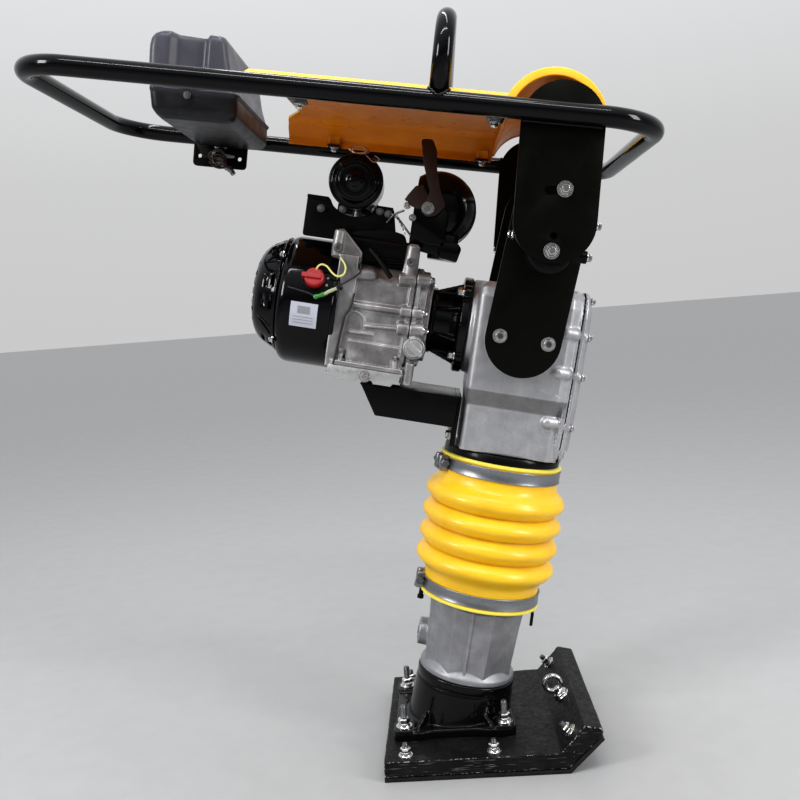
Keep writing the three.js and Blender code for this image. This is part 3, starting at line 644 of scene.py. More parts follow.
BELLOWS_YELLOW = bellows_rubber()
BEAD_YELLOW = plain("bellows_bead", (0.8, 0.68, 0.08), (0.88, 0.77, 0.13), (0.3, 0.42), 6, 0.02)
# Cover and hood: one plastic with the same painted up-and-down light, changing over at different facing
# thresholds
COVER_YELLOW = cover_plastic("cover_yellow", 0.42, 0.56)
HOOD_YELLOW = cover_plastic("hood_yellow", 0.3, 0.44)
TANK_GREY = tank_plastic()
SHOE_BLACK = shoe_laminate()
SOLE_STEEL = plain("sole_steel", (0.004, 0.004, 0.004), (0.03, 0.029, 0.028), (0.35, 0.6), 5, 0.1,
                   metallic=0.5)
RUBBER = plain("black_rubber", (0.002, 0.002, 0.002), (0.006, 0.006, 0.006), (0.5, 0.7), 3,
               Specular_IOR_Level=0.2)
RED = plain("switch_red", (0.29, 0.009, 0.013), (0.4, 0.016, 0.02), (0.3, 0.45), 4)
LABEL_WHITE = plain("label_white", (0.42, 0.43, 0.5), (0.52, 0.53, 0.6), (0.3, 0.45), 9, 0.01)
LABEL_GREY = plain("label_print", (0.22, 0.22, 0.24), (0.3, 0.3, 0.32), (0.4, 0.5), 3, 0.01)
WIRE_YELLOW = plain("wire_yellow", (0.72, 0.66, 0.2), (0.85, 0.8, 0.34), (0.3, 0.42), 4, 0.02)
WIRE_BLACK = plain("wire_black", (0.01, 0.01, 0.01), (0.02, 0.02, 0.02), (0.4, 0.5), 4, 0.02)
SLEEVE_GREEN = plain("sleeve_green", (0.02, 0.16, 0.03), (0.07, 0.3, 0.07), (0.2, 0.35), 4, 0.02)
SLEEVE_CLEAR = plain("sleeve_pale", (0.3, 0.36, 0.2), (0.5, 0.52, 0.36), (0.15, 0.3), 4, 0.02)
COPPER = plain("tie_wire", (0.3, 0.16, 0.1), (0.5, 0.3, 0.2), (0.3, 0.45), 3, 0.02, metallic=0.8)
BROWN_STRAP = plain("strap_brown", (0.020, 0.008, 0.006), (0.042, 0.018, 0.012), (0.3, 0.5), 12, 0.1)
PLUG_ALUMINIUM = plain("plug_aluminium", (0.45, 0.45, 0.45), (0.62, 0.62, 0.61), (0.3, 0.45), 3, 0.08,
                       metallic=0.75)


# ---- shoe -------------------------------------------------------------------------
NOSE_UP = (-sin(NOSE_ANGLE), cos(NOSE_ANGLE))
NOSE_RISE = (NOSE_TIP - NOSE_START) * tan(NOSE_ANGLE)
SLOPE = (66 - SHOE_TOP) / (NOSE_TIP - 25 - SHOE_BEND)


def nose_point(x):
    """Height of the shoe's sloped inner face."""
    return SHOE_TOP + SLOPE * (x - SHOE_BEND)


def shoe_layer(x, z):
    """Distance from the underside, along the bent board."""
    return min(z, z * cos(NOSE_ANGLE) - (x - NOSE_START) * sin(NOSE_ANGLE))


PLY = 4.2


def wear(p, n):
    """Layered side faces, knocked corners and a slightly uneven top."""
    side = max(0.0, 1 - 1.6 * abs(n.z))
    layers = 0.45 * side * sin(shoe_layer(p.x, p.z) * 2 * pi / PLY)
    rough = 0.8 * side * noise.fractal(Vector((p.x * 0.03, p.y * 0.03, p.z * 0.5)), 1.0, 2.0, 4)
    chip = min(0.0, noise.fractal(p * 0.045, 1.0, 2.0, 4) + 0.18)
    near_edge = max(0.0, 1 - min(abs(abs(p.y) - SHOE_HALF), abs(p.x - NOSE_TIP + 10)) / 9)
    return -abs(layers) + rough + 2.6 * chip * near_edge - 0.3


def build_shoe():
    low = SOLE_THICK + 0.3
    tip = (NOSE_TIP + low * NOSE_UP[0], NOSE_RISE + low * NOSE_UP[1])
    board = rounded([
        (SHOE_REAR, low), (NOSE_START - low * tan(NOSE_ANGLE / 2), low), tip, (NOSE_TIP - 0.8, 54),
        (NOSE_TIP - 2, 60.5), (NOSE_TIP - 25, 66), (SHOE_BEND, SHOE_TOP), (SHOE_REAR, SHOE_TOP)], 2.5, 3)
    obj = on_shoe("shoe_laminated_board", prism(board, -SHOE_HALF, SHOE_HALF), SHOE_BLACK, "shoe_board",
                  voxel=1.9, rounds=1, sharp=180)
    push_points(obj, wear)
    tip = (NOSE_TIP + SOLE_THICK * NOSE_UP[0], NOSE_RISE + SOLE_THICK * NOSE_UP[1])
    bend = (NOSE_START - SOLE_THICK * tan(NOSE_ANGLE / 2), SOLE_THICK)
    sole = [(SHOE_REAR, 0), (NOSE_START, 0), (NOSE_TIP, NOSE_RISE), tip, bend, (SHOE_REAR, SOLE_THICK)]
    on_shoe("shoe_sole", prism(sole, -SHOE_HALF, SHOE_HALF), SOLE_STEEL, "sole_plate", bevel=1.2)
    places = [((x, y, SHOE_TOP - 0.4), (0, 0, 1)) for x, y in BOARD_NUTS]
    places += [((244.3, y, nose_point(244.3) - 0.3), (-SLOPE, 0, 1)) for y in (-118, 118)]
    nuts = [washered_nut(at, towards, 7.4, 6.6, 10, 4.1) for at, towards in places]
    on_shoe("shoe_nuts", merged(*nuts), ZINC)
    studs = [stud(at, towards, 4, 18) for at, towards in places]
    on_shoe("shoe_studs", merged(*studs), THREAD_STEEL)


def build_eye_bolt():
    ring = tube([(11.6 * cos(2 * pi * k / 64), 0, 22.5 + 11.6 * sin(2 * pi * k / 64)) for k in range(64)],
                3.7, 20, True)
    collar = turned([(0, 0), (12.5, 0), (12.5, 1.6), (11.4, 2.4), (10.6, 3), (10.6, 5.4), (9.4, 6.6),
                     (6.6, 7.6), (5.2, 9.6), (5.2, 15), (0, 15)], steps=48)
    x = SHOE_BEND + 21
    turn = Matrix.Rotation(-0.62, 4, "Y")
    shape = moved(merged(ring, collar), Matrix.Translation((x, -12, nose_point(x))) @ turn)
    on_shoe("lashing_eye", shape, ZINC, "eye_bolt", voxel=0.7, sharp=180)


# ---- foot casting -----------------------------------------------------------------
def build_foot():
    to_leg = FLOOR.inverted() @ LEG
    neck = moved(turned([(0, -40), (77, -40), (73.5, 16), (71.3, 52), (70.3, 54.5), (69.3, 56), (70.7, 57.6),
                         (71, 60), (71, 67), (69.8, 69), (0, 69)], steps=128), to_leg)
    c = FOOT_MIDDLE
    flange = prism(rounded([
        (c - 84, -86), (c - 50, -86), (c - 34, -82), (c + 34, -82), (c + 50, -86), (c + 84, -86),
        (c + 84, 86), (c + 50, 86), (c + 34, 82), (c - 34, 82), (c - 50, 86), (c - 84, 86)], 8, 6),
        SHOE_TOP + 0.3, FOOT_TOP - 4, "z")
    pads = [prism(rounded([(x - 15, y - 15), (x + 15, y - 15), (x + 15, y + 15), (x - 15, y + 15)], 6, 5),
                  SHOE_TOP + 1, FOOT_TOP, "z") for x, y in STUDS]
    ribs = []
    for degrees in (56, 124, 236, 304):
        rib = prism([(50, FOOT_TOP - 6), (100, FOOT_TOP - 8), (100, FOOT_TOP - 3), (74, FOOT_TOP + 13),
                     (50, FOOT_TOP + 16)], -2.6, 2.6)
        ribs.append(moved(rib, Matrix.Translation((c, 0, 0)) @ Matrix.Rotation(radians(degrees), 4, "Z")))
    rim = [tube([(c - 60, y * 79, FOOT_TOP - 4.6), (c + 60, y * 79, FOOT_TOP - 4.6)], 2.6) for y in (-1, 1)]
    under = block(-200, 400, -200, 200, -200, SHOE_TOP + 0.3)
    on_shoe("foot_casting_body", merged(neck, flange, *pads, *ribs, *rim), FOOT_BLACK, "foot_casting",
            voxel=1.4, cuts=under, sharp=60)
    nuts = [washered_nut((x, y, FOOT_TOP + 0.2), (0, 0, 1), 8.4, 8, 11.6, 4.8) for x, y in STUDS]
    on_shoe("foot_nuts", merged(*nuts), ZINC)
    studs = [stud((x, y, FOOT_TOP + 0.2), (0, 0, 1), 4.7, 31) for x, y in STUDS]
    on_shoe("foot_studs", merged(*studs), THREAD_STEEL)


# ---- spring leg -------------------------------------------------------------------
def build_spring_cylinder():
    body = turned([(50, 71), (66.6, 71), (67.4, 96), (70.5, 150), (73, 178), (74, 190), (50, 190)], steps=8,
                  ring=True, start=-pi / 2 + pi / 8 - radians(5))
    flange = turned([(50, 69.3), (69, 69.3), (69.5, 71), (69.3, 76), (68.2, 78), (65, 82), (60.5, 88),
                     (50, 90)], steps=128, ring=True)
    seat = turned([(50, 172), (68, 174), (76, 180), (78.6, 183), (78.6, 207), (64, 212), (50, 212)],
                  steps=96, ring=True)
    ribs = []
    for degrees in (-97, 83):
        angle = radians(degrees)
        foot = Vector((cos(angle), sin(angle), 0))
        ribs.append(tube([foot * 62 + Vector((0, 0, 73)), foot * 62.6 + Vector((0, 0, 96)),
                          foot * 65.4 + Vector((0, 0, 150)), foot * 68 + Vector((0, 0, 184))], 2.5, 10))
    boss = turned([(0, -77), (14, -77), (14, -78.5), (19, -78.5), (19.6, -77), (20.5, -56), (0, -56)], "x",
                  (0, 0, 115), 64)
    on_foot("spring_cylinder_casting", merged(body, flange, seat, *ribs, boss), LEG_ALUMINIUM,
            "spring_cylinder", voxel=1.1, sharp=180)
    plug = turned([(0, -80), (5, -80), (6, -79), (12.5, -79), (12.5, -75), (0, -75)], "x", (0, 0, 115), 40)
    on_foot("cylinder_sight_plug", plug, DARK_STEEL)
    stub = turned([(0, 166), (4.6, 166), (4.6, 171), (3.2, 172), (3.2, 182), (0, 182)], "z", (-84, -8, 0), 24)
    tail = tube([(76, -34, 186), (77.5, -34, 176), (78, -34, 160)], 2.2, 12)
    on_foot("breather_stubs", merged(stub, tail), RUBBER)


FIRST_CREST = 237.5
LAST_CREST = 333.5
BELLOWS_PITCH = 32
BELLOWS_WALL = 3.4


def bellows_profile():
    """Outer line of the bellows: beads at both rims, four rolls and a tapering shoulder."""
    line = [(84.4, 182), (86.4, 182.8), (86.8, 184.4), (86.2, 186), (83.8, 187), (83.6, 206), (83.8, 212),
            (84.6, 216), (86.2, 219.8)]
    low, high, steps = FIRST_CREST - 14, LAST_CREST + 7, 60
    for k in range(steps + 1):
        s = low + (high - low) * k / steps
        swell = 0.5 + 0.5 * cos(2 * pi * (s - FIRST_CREST) / BELLOWS_PITCH)
        line.append((87.4 + 13.3 * swell ** 0.46, s))
    line += [(97.6, 342.4), (94.6, 345.6), (90.6, 348.6), (87.6, 352), (85.8, 356.4), (85, 362), (84.9, 372),
             (84.9, 385), (86.8, 386.4), (87.2, 388), (86.6, 389.6), (84.6, 390)]
    return line


def build_bellows():
    outer = bellows_profile()
    inner = [(r - BELLOWS_WALL, s) for r, s in reversed(outer[2:-2])]
    shape = turned([*outer, *inner], steps=160, ring=True)
    obj = piece(LEG, None, "bellows_skin", shape, BELLOWS_YELLOW, "bellows", sharp=70)
    soft = obj.modifiers.new("soft", "SMOOTH")
    soft.factor = 0.5
    soft.iterations = 2
    bake_modifiers(obj)
    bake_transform(obj)
    for name, body, low in (("lower", "foot", RIM_BOTTOM - 2.2), ("upper", "machine", RIM_TOP - 3)):
        bead = [(82, low), (85, low), (86.9, low + 1), (87.4, low + 2.6), (86.9, low + 4.2), (85, low + 5.2),
                (82, low + 5.2)]
        piece(LEG, body, f"bellows_{name}_bead", turned(bead, steps=160, ring=True), BEAD_YELLOW)


def build_band(name, body, radius, bottom, node, degrees=0):
    """A T-bolt band: strap, two folded ends and a bolt across them, turned about the leg."""
    around = Matrix.Rotation(radians(degrees), 4, "Z")
    top = bottom + BAND
    lip = 0.8
    strap = turned([(radius, bottom), (radius + 1.8, bottom), (radius + 2.4, bottom + lip),
                    (radius + 1.6, bottom + 2.4), (radius + 1.6, top - 2.4), (radius + 2.4, top - lip),
                    (radius + 1.8, top), (radius, top)], steps=160, ring=True)
    middle = bottom + BAND / 2
    ends = []
    for y in (-12, 4):
        loop = stadium(-radius, 0, -radius - 5, 0, 4.4, 12)
        ends.append(shifted(prism([(x, y + z * 0.9) for x, z in loop], bottom + 0.5, top - 0.5, "z"), 0, 4))
    piece(LEG, body, name + "_strap", moved(merged(strap, *ends), around), BAND_STEEL, node, bevel=0.3)
    x = -radius - 4.5
    bolt = merged(
        turned([(0, -24), (3.4, -24), (3.4, 18), (0, 18)], "y", (x, 0, middle), 20),
        aimed(hexagon(6.4, 0, 6), (x, -19.5, middle), (0, -1, 0)),
        aimed(hexagon(6.2, 0, 5), (x, 13, middle), (0, 1, 0)))
    piece(LEG, body, name + "_bolt", moved(bolt, around), THREAD_STEEL)
    plate = [(x - 7.5, bottom - 1), (x - 5, top), (x + 3, top + 2.5), (x + 7.5, top), (x + 7.5, bottom - 3),
             (x - 3, bottom - 4)]
    trunnion = turned([(0, bottom - 2), (5, bottom - 2), (5.6, bottom), (5.6, top - 1), (5, top + 1),
                       (0, top + 1)], "z", (x, 8.5, 0), 24)
    saddle = merged(prism(plate, -19.6, -17.4), trunnion, block(x - 5, x + 4, -18, 12, bottom - 3,
                                                                bottom - 1))
    piece(LEG, body, name + "_saddle", moved(saddle, around), DARK_STEEL, bevel=0.5)


# ---- crankcase --------------------------------------------------------------------
CASE_FOOT = 402.3
FLANGE_TOP = 636
CASE_LEVELS = [(CASE_FOOT, 75, -66), (466, 75.5, -67), (488, 88, -69), (614, 88, -71), (626, 83, -71),
               (634, 76, -62)]


def case_rim(bottom):
    """Outline of the split face between the crankcase and its cover."""
    near = [(80, 470), (80, 612), (66, 637)]
    return [(-68, bottom), (68, bottom), *near, *[(-y, z) for y, z in reversed(near)]]


def case_section(half, left, s):
    """A level slice of the crankcase: flat sides, rounded rear corners and a chamfer to the split line."""
    right = 69.8 if s < 630 else 66
    near = [(left + 9 - 9 * sin(radians(90 - 9 * k)), -half + 9 - 9 * cos(radians(90 - 9 * k)))
            for k in range(11)]
    face = min(54, right - 6)
    front = [(face, -half), (face + 1.5, -half + 0.8), (right, -half + 11)]
    side = [*near, *front]
    return [(x, y, s) for x, y in side] + [(x, -y, s) for x, y in reversed(side)]


def stacked(sections):
    """Closed skin through rings of equal count."""
    n = len(sections[0])
    points = [p for ring in sections for p in ring]
    faces = [list(range(n)), list(range(len(points) - n, len(points)))]
    for i in range(len(sections) - 1):
        for k in range(n):
            m = (k + 1) % n
            faces.append([i * n + k, i * n + m, (i + 1) * n + m, (i + 1) * n + k])
    return points, faces


def capsule(start, end, r, steps=24):
    """A rounded boss between two points."""
    along = Vector(end) - Vector(start)
    profile = [(r * sin(radians(15 * k)), -r * cos(radians(15 * k))) for k in range(7)]
    profile += [(r * sin(radians(15 * k)), along.length - r * cos(radians(15 * k))) for k in range(6, 13)]
    profile[0], profile[-1] = (0, -r), (0, along.length + r)
    return aimed(turned(profile, steps=steps), start, along)


def span(outline, z):
    """Lowest and highest first coordinate of an outline at a height."""
    found = []
    for (x0, z0), (x1, z1) in zip(outline, outline[1:] + outline[:1]):
        if min(z0, z1) - 1e-3 <= z <= max(z0, z1) + 1e-3:
            share = 0.5 if abs(z1 - z0) < 1e-3 else (z - z0) / (z1 - z0)
            share = min(1.0, max(0.0, share))
            found += [x0 + share * (x1 - x0)]
            if abs(z1 - z0) < 1e-3:
                found += [x0, x1]
    return min(found), max(found)


def case_flange():
    """The crankcase's flange at the split face, as level slices."""
    outline = rounded(case_rim(CASE_FOOT), 12, 6)
    heights = sorted({round(z, 3) for _, z in outline if z <= FLANGE_TOP} | {CASE_FOOT, FLANGE_TOP})
    rings = []
    for z in heights:
        y0, y1 = span(outline, z)
        rings.append([(63.5, y0, z), (69.8, y0, z), (69.8, y1, z), (63.5, y1, z)])
    return stacked(rings)


def case_hollow():
    """Space for the gears: round where the guide tube enters, then wide up to the roof."""
    levels = [(395, 58, 58), (410, 58, 58), (424, 62, 66), (470, 62, 66), (492, 62, 78), (618, 62, 78)]
    rings = []
    for s, x, y in levels:
        ring = []
        for k in range(48):
            angle = 2 * pi * (k + 0.5) / 48
            reach = x if x == y else min(x / abs(cos(angle)), y / abs(sin(angle)))
            ring.append((max(-56, reach * cos(angle)), reach * sin(angle), s))
        rings.append(ring)
    return stacked(rings)


def build_crankcase():
    body = stacked([case_section(half, left, s) for s, half, left in CASE_LEVELS])
    roof = prism([(-58, 626), (64, 630), (62, 637.5), (54, 638), (-48, 629)], -70, 70)
    seat = turned([(0, -78.7), (64, -78.7), (66, -76), (66.5, -60), (0, -60)], "x", (0, 0, SHAFT_S), 96)
    shapes = [body, roof, seat, case_flange()]
    for hand in (-1, 1):
        shapes.append(turned([(0, hand * 80), (48, hand * 80), (46.5, hand * 105.6), (0, hand * 105.6)], "y",
                             (-6, 0, 563), 96))
        for s, a, y in ((580, 54, 83), (526, 51, 84), (457, 50, 72.5)):
            shapes.append(capsule((a - 3, hand * (y + 0.5), s), (a + 8, hand * (y - 4.5), s), 9.6))
    crack = tube(curve_through([(28, -88.4, 501), (40, -88.6, 498), (50, -88.6, 497), (58, -86, 495)]), 0.7,
                 8)
    on_machine("crankcase_casting", merged(*shapes), BODY_ALUMINIUM, "crankcase_housing", voxel=1.6, rounds=3,
               cuts=merged(crack, case_hollow()), sharp=70)
    gasket = prism([(y * 0.98, z) for y, z in case_rim(403)], 69.7, 70.8, "x")
    on_machine("crankcase_gasket", gasket, SATIN_BLACK, slot="rubber")


COVER_BOLTS = [(80, 627, 61), (82, 578, 75), (82, 524, 76), (80, 454, 72), (74, 418, 64)]


def build_crankcase_cover():
    outline = rounded(case_rim(403), 12, 6)
    flange = prism(outline, 70.9, 76, "x")
    shoulder = stacked([[(x, y * share, 520 + (z - 520) * share) for y, z in outline]
                        for x, share in ((75, 0.97), (79, 0.95), (83, 0.86), (85, 0.74))])
    dome = turned([(0, 90), (28, 88.6), (42, 84), (46, 76), (0, 76)], "x", (0, 0, 505), 72)
    lips = [capsule((x - 9, hand * y, s), (x - 4.6, hand * y, s), 5.8) for x, s, y in COVER_BOLTS
            for hand in (-1, 1)]
    on_machine("crankcase_front_cover", merged(flange, shoulder, dome, *lips), CASE_ALUMINIUM,
               "crankcase_cover", voxel=1.4, sharp=70)
    bolts = [hex_bolt((x, hand * y, s), (1, 0, 0), 4.6, 3.6, 5.4) for x, s, y in COVER_BOLTS
             for hand in (-1, 1)]
    on_machine("cover_bolts", merged(*bolts), ZINC)


def build_guide_tube():
    profile = [(62, 232), (70, 232), (70, 354), (80, 361), (80.4, 389), (83, 391), (83, 399), (81.5, 401.5),
               (62, 401.5)]
    on_machine("guide_ring", turned(profile, steps=128, ring=True), SATIN_BLACK, "guide_tube")
    lugs = [hex_bolt((74 * cos(radians(d)), 74 * sin(radians(d)), 398), (0, 0, -1), 5, 4, 6)
            for d in (-118, -62, 62, 118)]
    on_machine("guide_ring_screws", merged(*lugs), DARK_STEEL)


# ---- clutch -----------------------------------------------------------------------
def build_clutch_housing():
    cone = turned([(41, -132.7), (46, -132.7), (47, -128), (44, -126), (44.5, -104), (50, -94), (65.5, -92),
                   (67.5, -90.5), (67.5, -80.5), (66, -79), (24, -79), (24, -86), (41, -92)], "x",
                  (0, 0, SHAFT_S), 112, ring=True)
    ribs = []
    for k in range(8):
        turn = Matrix.Translation((0, 0, SHAFT_S)) @ Matrix.Rotation(radians(22.5 + 45 * k), 4, "X")
        ribs.append(moved(prism([(-130, 40), (-130, 45.5), (-92, 61), (-91, 40)], -2.2, 2.2), turn))
    lugs = []
    for k in range(4):
        turn = Matrix.Translation((0, 0, SHAFT_S)) @ Matrix.Rotation(radians(45 + 90 * k), 4, "X")
        lugs.append(moved(turned([(0, -91), (11, -91), (11, -79.2), (0, -79.2)], "x", (0, 0, 62), 32), turn))
    on_machine("clutch_bell", merged(cone, *ribs, *lugs), FOOT_BLACK, "clutch_housing", voxel=1.2, sharp=70)
    nuts = []
    for k in range(4):
        angle = radians(45 + 90 * k)
        at = (-91, 62 * sin(angle), SHAFT_S + 62 * cos(angle))
        nuts.append(hex_bolt(at, (-1, 0, 0), 7.2, 7, 8.6))
    on_machine("clutch_bell_bolts", merged(*nuts), ZINC)


# ---- arms, rubber mounts and handle plates ------------------------------------------
ARM_BOLTS = [(-38, 564), (25.5, 562.5)]
PLATE_BOLTS = [(287, -85), (279.5, -159)]
MOUNTS = [(0, 675), (4.4, 749)]


def build_support(side, hand):
    arm = prism(stadium(4, 745, -7, 563, 50), *sorted((hand * ARM_IN, hand * ARM_OUT)))
    on_machine("arm_" + side, arm, PLATE_BLACK, "arm_plate_" + side, bevel=0.8)
    screws = [cap_screw((x, hand * ARM_OUT, s), (0, hand, 0)) for x, s in ARM_BOLTS]
    on_machine(f"arm_{side}_screws", merged(*screws), ZINC)
    sockets = [aimed(hexagon(3.5, 6, 7.4), (x, hand * ARM_OUT, s), (0, hand, 0)) for x, s in ARM_BOLTS]
    on_machine(f"arm_{side}_sockets", merged(*sockets), THREAD_STEEL)
    bobbins = [turned([(0, hand * 114.4), (23.5, hand * 114.4), (23.5, hand * 119), (23, hand * 124),
                       (22.5, hand * 140), (23, hand * 151), (23.5, hand * 163), (25, hand * 178),
                       (27, hand * 184), (27, hand * 188.4), (0, hand * 188.4)], "y", (x, 0, s), 72)
               for x, s in MOUNTS]
    web = prism([(-14, 676), (14, 674), (18, 748), (-9, 750)], *sorted((hand * 118, hand * 184)))
    on_machine("rubber_buffers_" + side, merged(*bobbins, web), RUBBER, "rubber_mount_" + side, voxel=1.6,
               rounds=3, sharp=180)
    ties = [hex_bolt((x, hand * 150, s), (way, 0, 0), 4.8, 4.4, 5.8)
            for x, s, way in ((-44.5, 692, -1), (55.5, 717, 1), (50.5, 677, 1))]
    stems = [tube([(-44, hand * 150, 692), (-18, hand * 150, 690)], 8, 20),
             tube([(14, hand * 150, 715), (55, hand * 150, 717)], 8, 20),
             tube([(14, hand * 150, 676), (50, hand * 150, 677)], 8, 20)]
    on_machine("buffer_ties_" + side, merged(*ties), ZINC)
    on_machine("buffer_stems_" + side, merged(*stems), SATIN_BLACK)
    plate = prism(stadium(276, -9, 280, -124, 50), *sorted((hand * PLATE_IN, hand * (PLATE_OUT - 0.3))))
    slot = prism(stadium(268, -88.5, 285, -85.5, 5, 10), *sorted((hand * 180, hand * 205)))
    hole = prism(disc(280, -141, 4.6, 24), *sorted((hand * 180, hand * 205)))
    on_handle("handle_side_" + side, plate, PLATE_BLACK, "handle_plate_" + side, bevel=0.8,
              cuts=merged(slot, hole))
    bolts = [hex_bolt((x, hand * (PLATE_OUT - 0.2), h), (0, hand, 0), 7.6, 6, 9.8) for x, h in PLATE_BOLTS]
    on_handle(f"handle_side_{side}_bolts", merged(*bolts), ZINC)
    beads = []
    for h in (-10.2, 8.6):
        path = [(226 + 96 * k / 60, hand * (PLATE_OUT + 0.6), h + 0.5 * sin(2.1 * k)) for k in range(61)]
        beads.append(tube(path, lambda share: 2.6 + 0.5 * sin(share * 190), 10))
    on_handle(f"handle_side_{side}_weld", merged(*beads), TUBE_BLACK, sharp=180)


# ---- handle ring and hoop -----------------------------------------------------------
def build_ring():
    path = []
    for cx, cy, start in ((1, 1, 0), (-1, 1, 90), (-1, -1, 180), (1, -1, 270)):
        for k in range(25):
            angle = radians(start + 90 * k / 24)
            path.append((cx * (RING_LENGTH - RING_CORNER) + RING_CORNER * cos(angle),
                         cy * (RING_WIDTH - RING_CORNER) + RING_CORNER * sin(angle), 0))
    on_handle("handle_tube_ring", tube(path, TUBE_R, 48, True), TUBE_BLACK, "handle_ring", sharp=180)


def build_hoop():
    near = RING_WIDTH - HOOP_BEND
    neck = HOOP_TOP - HOOP_BEND
    path = [(HOOP_X, -RING_WIDTH, TUBE_R - 2)]
    for way, start in ((-1, 180), (1, 90)):
        for k in range(19):
            angle = radians(start - 90 * k / 18)
            path.append((HOOP_X, way * near + HOOP_BEND * cos(angle), neck + HOOP_BEND * sin(angle)))
    path.append((HOOP_X, RING_WIDTH, TUBE_R - 2))
    on_handle("lifting_hoop", tube(path, 12, 48), TUBE_BLACK, "lift_hoop", sharp=180)
    beads = []
    for y in (-RING_WIDTH, RING_WIDTH):
        loop = []
        for k in range(72):
            angle = 2 * pi * k / 72
            x, across = 12.2 * cos(angle), 12.2 * sin(angle)
            loop.append((HOOP_X + x, y + across, sqrt(max(0, TUBE_R ** 2 - min(across, 12.2) ** 2)) + 0.9))
        beads.append(tube(loop, lambda share: 1.7 + 0.4 * sin(share * 150), 10, True))
    on_handle("lifting_hoop_welds", merged(*beads), TUBE_BLACK, sharp=180)


# ---- cover ------------------------------------------------------------------------
COVER_REAR = [(0, -91.2), (41, -88), (77, -84.7), (107, -98.7), (128, -110), (165, -115.5), (190, -117)]
COVER_RISE = [(0, 34.5), (100, 33), (152, 30), (183, 14), (187, 3)]
COVER_HALF = 187
COVER_WALL = 3.4
HOOD = (266, -7)
HOOD_R = 58


def along(table, x):
    """Straight-line value of a table of (place, value)."""
    for (x0, v0), (x1, v1) in zip(table, table[1:]):
        if x <= x1:
            return v0 + (v1 - v0) * max(0.0, x - x0) / (x1 - x0)
    return table[-1][1]


def build_cover():
    half = COVER_HALF
    across, length = 160, 60
    points, faces = [], []
    for layer in (0, -COVER_WALL):
        for i in range(across + 1):
            y = -half + 2 * half * i / across
            rear, rise = along(COVER_REAR, abs(y)), along(COVER_RISE, abs(y))
            front = HOOD[0] + 1 - sqrt(HOOD_R ** 2 - (rise - HOOD[1]) ** 2)
            for j in range(length + 1):
                x = rear + (front - rear) * j / length
                points.append((x, y * (1 - 0.001 * layer), rise + layer))
    row, sheet = length + 1, (across + 1) * (length + 1)
    for i in range(across):
        for j in range(length):
            a = i * row + j
            faces.append([a, a + 1, a + row + 1, a + row])
            faces.append([sheet + a, sheet + a + row, sheet + a + row + 1, sheet + a + 1])
    border = [i * row for i in range(across + 1)] + [across * row + j for j in range(1, length + 1)]
    border += [i * row + length for i in range(across - 1, -1, -1)] + list(range(length - 1, 0, -1))
    for a, b in zip(border, border[1:] + border[:1]):
        faces.append([a, b, sheet + b, sheet + a])
    hood, count = [], 60
    strips = ((54.6, 59.5, -half, half), (53.6, 64, -half - 1, -half + 7), (53.6, 64, half - 7, half + 1))
    for r0, r1, y0, y1 in strips:
        arc = [radians(4 + 158 * k / count) for k in range(count + 1)]
        outline = [(HOOD[0] + r1 * cos(a), HOOD[1] + r1 * sin(a)) for a in arc]
        outline += [(HOOD[0] + r0 * cos(a), HOOD[1] + r0 * sin(a)) for a in reversed(arc)]
        hood.append(prism(outline, y0, y1))
    on_handle("cover_tray", (points, faces), COVER_YELLOW, "handle_cover", sharp=50)
    on_handle("cover_hood", merged(*hood), HOOD_YELLOW, bevel=1.6, segments=3, sharp=50)
    pads, tabs, bolts = [], [], []
    for hand, h in ((-1, -8), (1, 2)):
        for x in (-42, 196):
            pads.append(prism(rounded([(x - 9, h), (x + 9, h), (x + 8, h + 25), (x - 8, h + 25)], 3, 3),
                              hand * 178 - 4, hand * 178 + 4))
            tabs.append(prism(rounded([(x - 10, hand * 168), (x + 10, hand * 168), (x + 11, hand * 205),
                                       (x - 11, hand * 205)], 4, 3), h - 3, h, "z"))
            bolts.append(hex_bolt((x, hand * 178, h - 3.1), (0, 0, -1), 5, 4.6, 6.4))
    on_handle("cover_pads", merged(*pads), COVER_YELLOW, bevel=1.2)
    on_handle("cover_tabs", merged(*tabs), SATIN_BLACK, bevel=0.6)
    on_handle("cover_bolts_under", merged(*bolts), ZINC)


# ---- fuel tank --------------------------------------------------------------------
TANK_REAR = [(-30, -237), (-26, -242), (-19, -248), (6, -252), (36, -255.5), (60, -255.5), (69, -254),
             (75, -250), (79, -243), (80.5, -238)]
TANK_FRONT = [(-30, -148), (-27, -139), (-20, -135), (7, -136), (9, -138), (33, -147), (56, -152), (72, -155),
              (78, -158), (80.5, -164)]
TANK_HALF = [(-30, 98), (-26, 105), (-20, 109), (0, 110), (66, 110.5), (74, 109.5), (79, 106), (80.5, 101)]


def tank_section(h):
    """A level slice of the tank: rounded corners and, above the seam, a channel in both end faces."""
    rear, front, half = along(TANK_REAR, h), along(TANK_FRONT, h), along(TANK_HALF, h)
    depth = 9.0 if h > 9 else 0.0
    corner = 10
    bend = [radians(18 * k) for k in range(6)]
    near = [(rear + corner - corner * cos(a), -half + corner - corner * sin(a)) for a in bend]
    near += [(-231, -half), (-228, -half + 0.1 * depth), (-218, -half + 0.9 * depth), (-214, -half + depth),
             (-184, -half + depth), (-181, -half + 0.85 * depth), (-177, -half + 0.1 * depth), (-175, -half)]
    near += [(front - corner + corner * sin(a), -half + corner - corner * cos(a)) for a in bend]
    top = [(a, min(h, 77.5 if a < -200 else 75.5) if -226 < a < -180 else h if a < -200 else min(h, 79))
           for a, _ in near]
    return [(a, y, z) for (a, y), (_, z) in zip(near, top)] + [
        (a, -y, z) for (a, y), (_, z) in zip(reversed(near), reversed(top))]


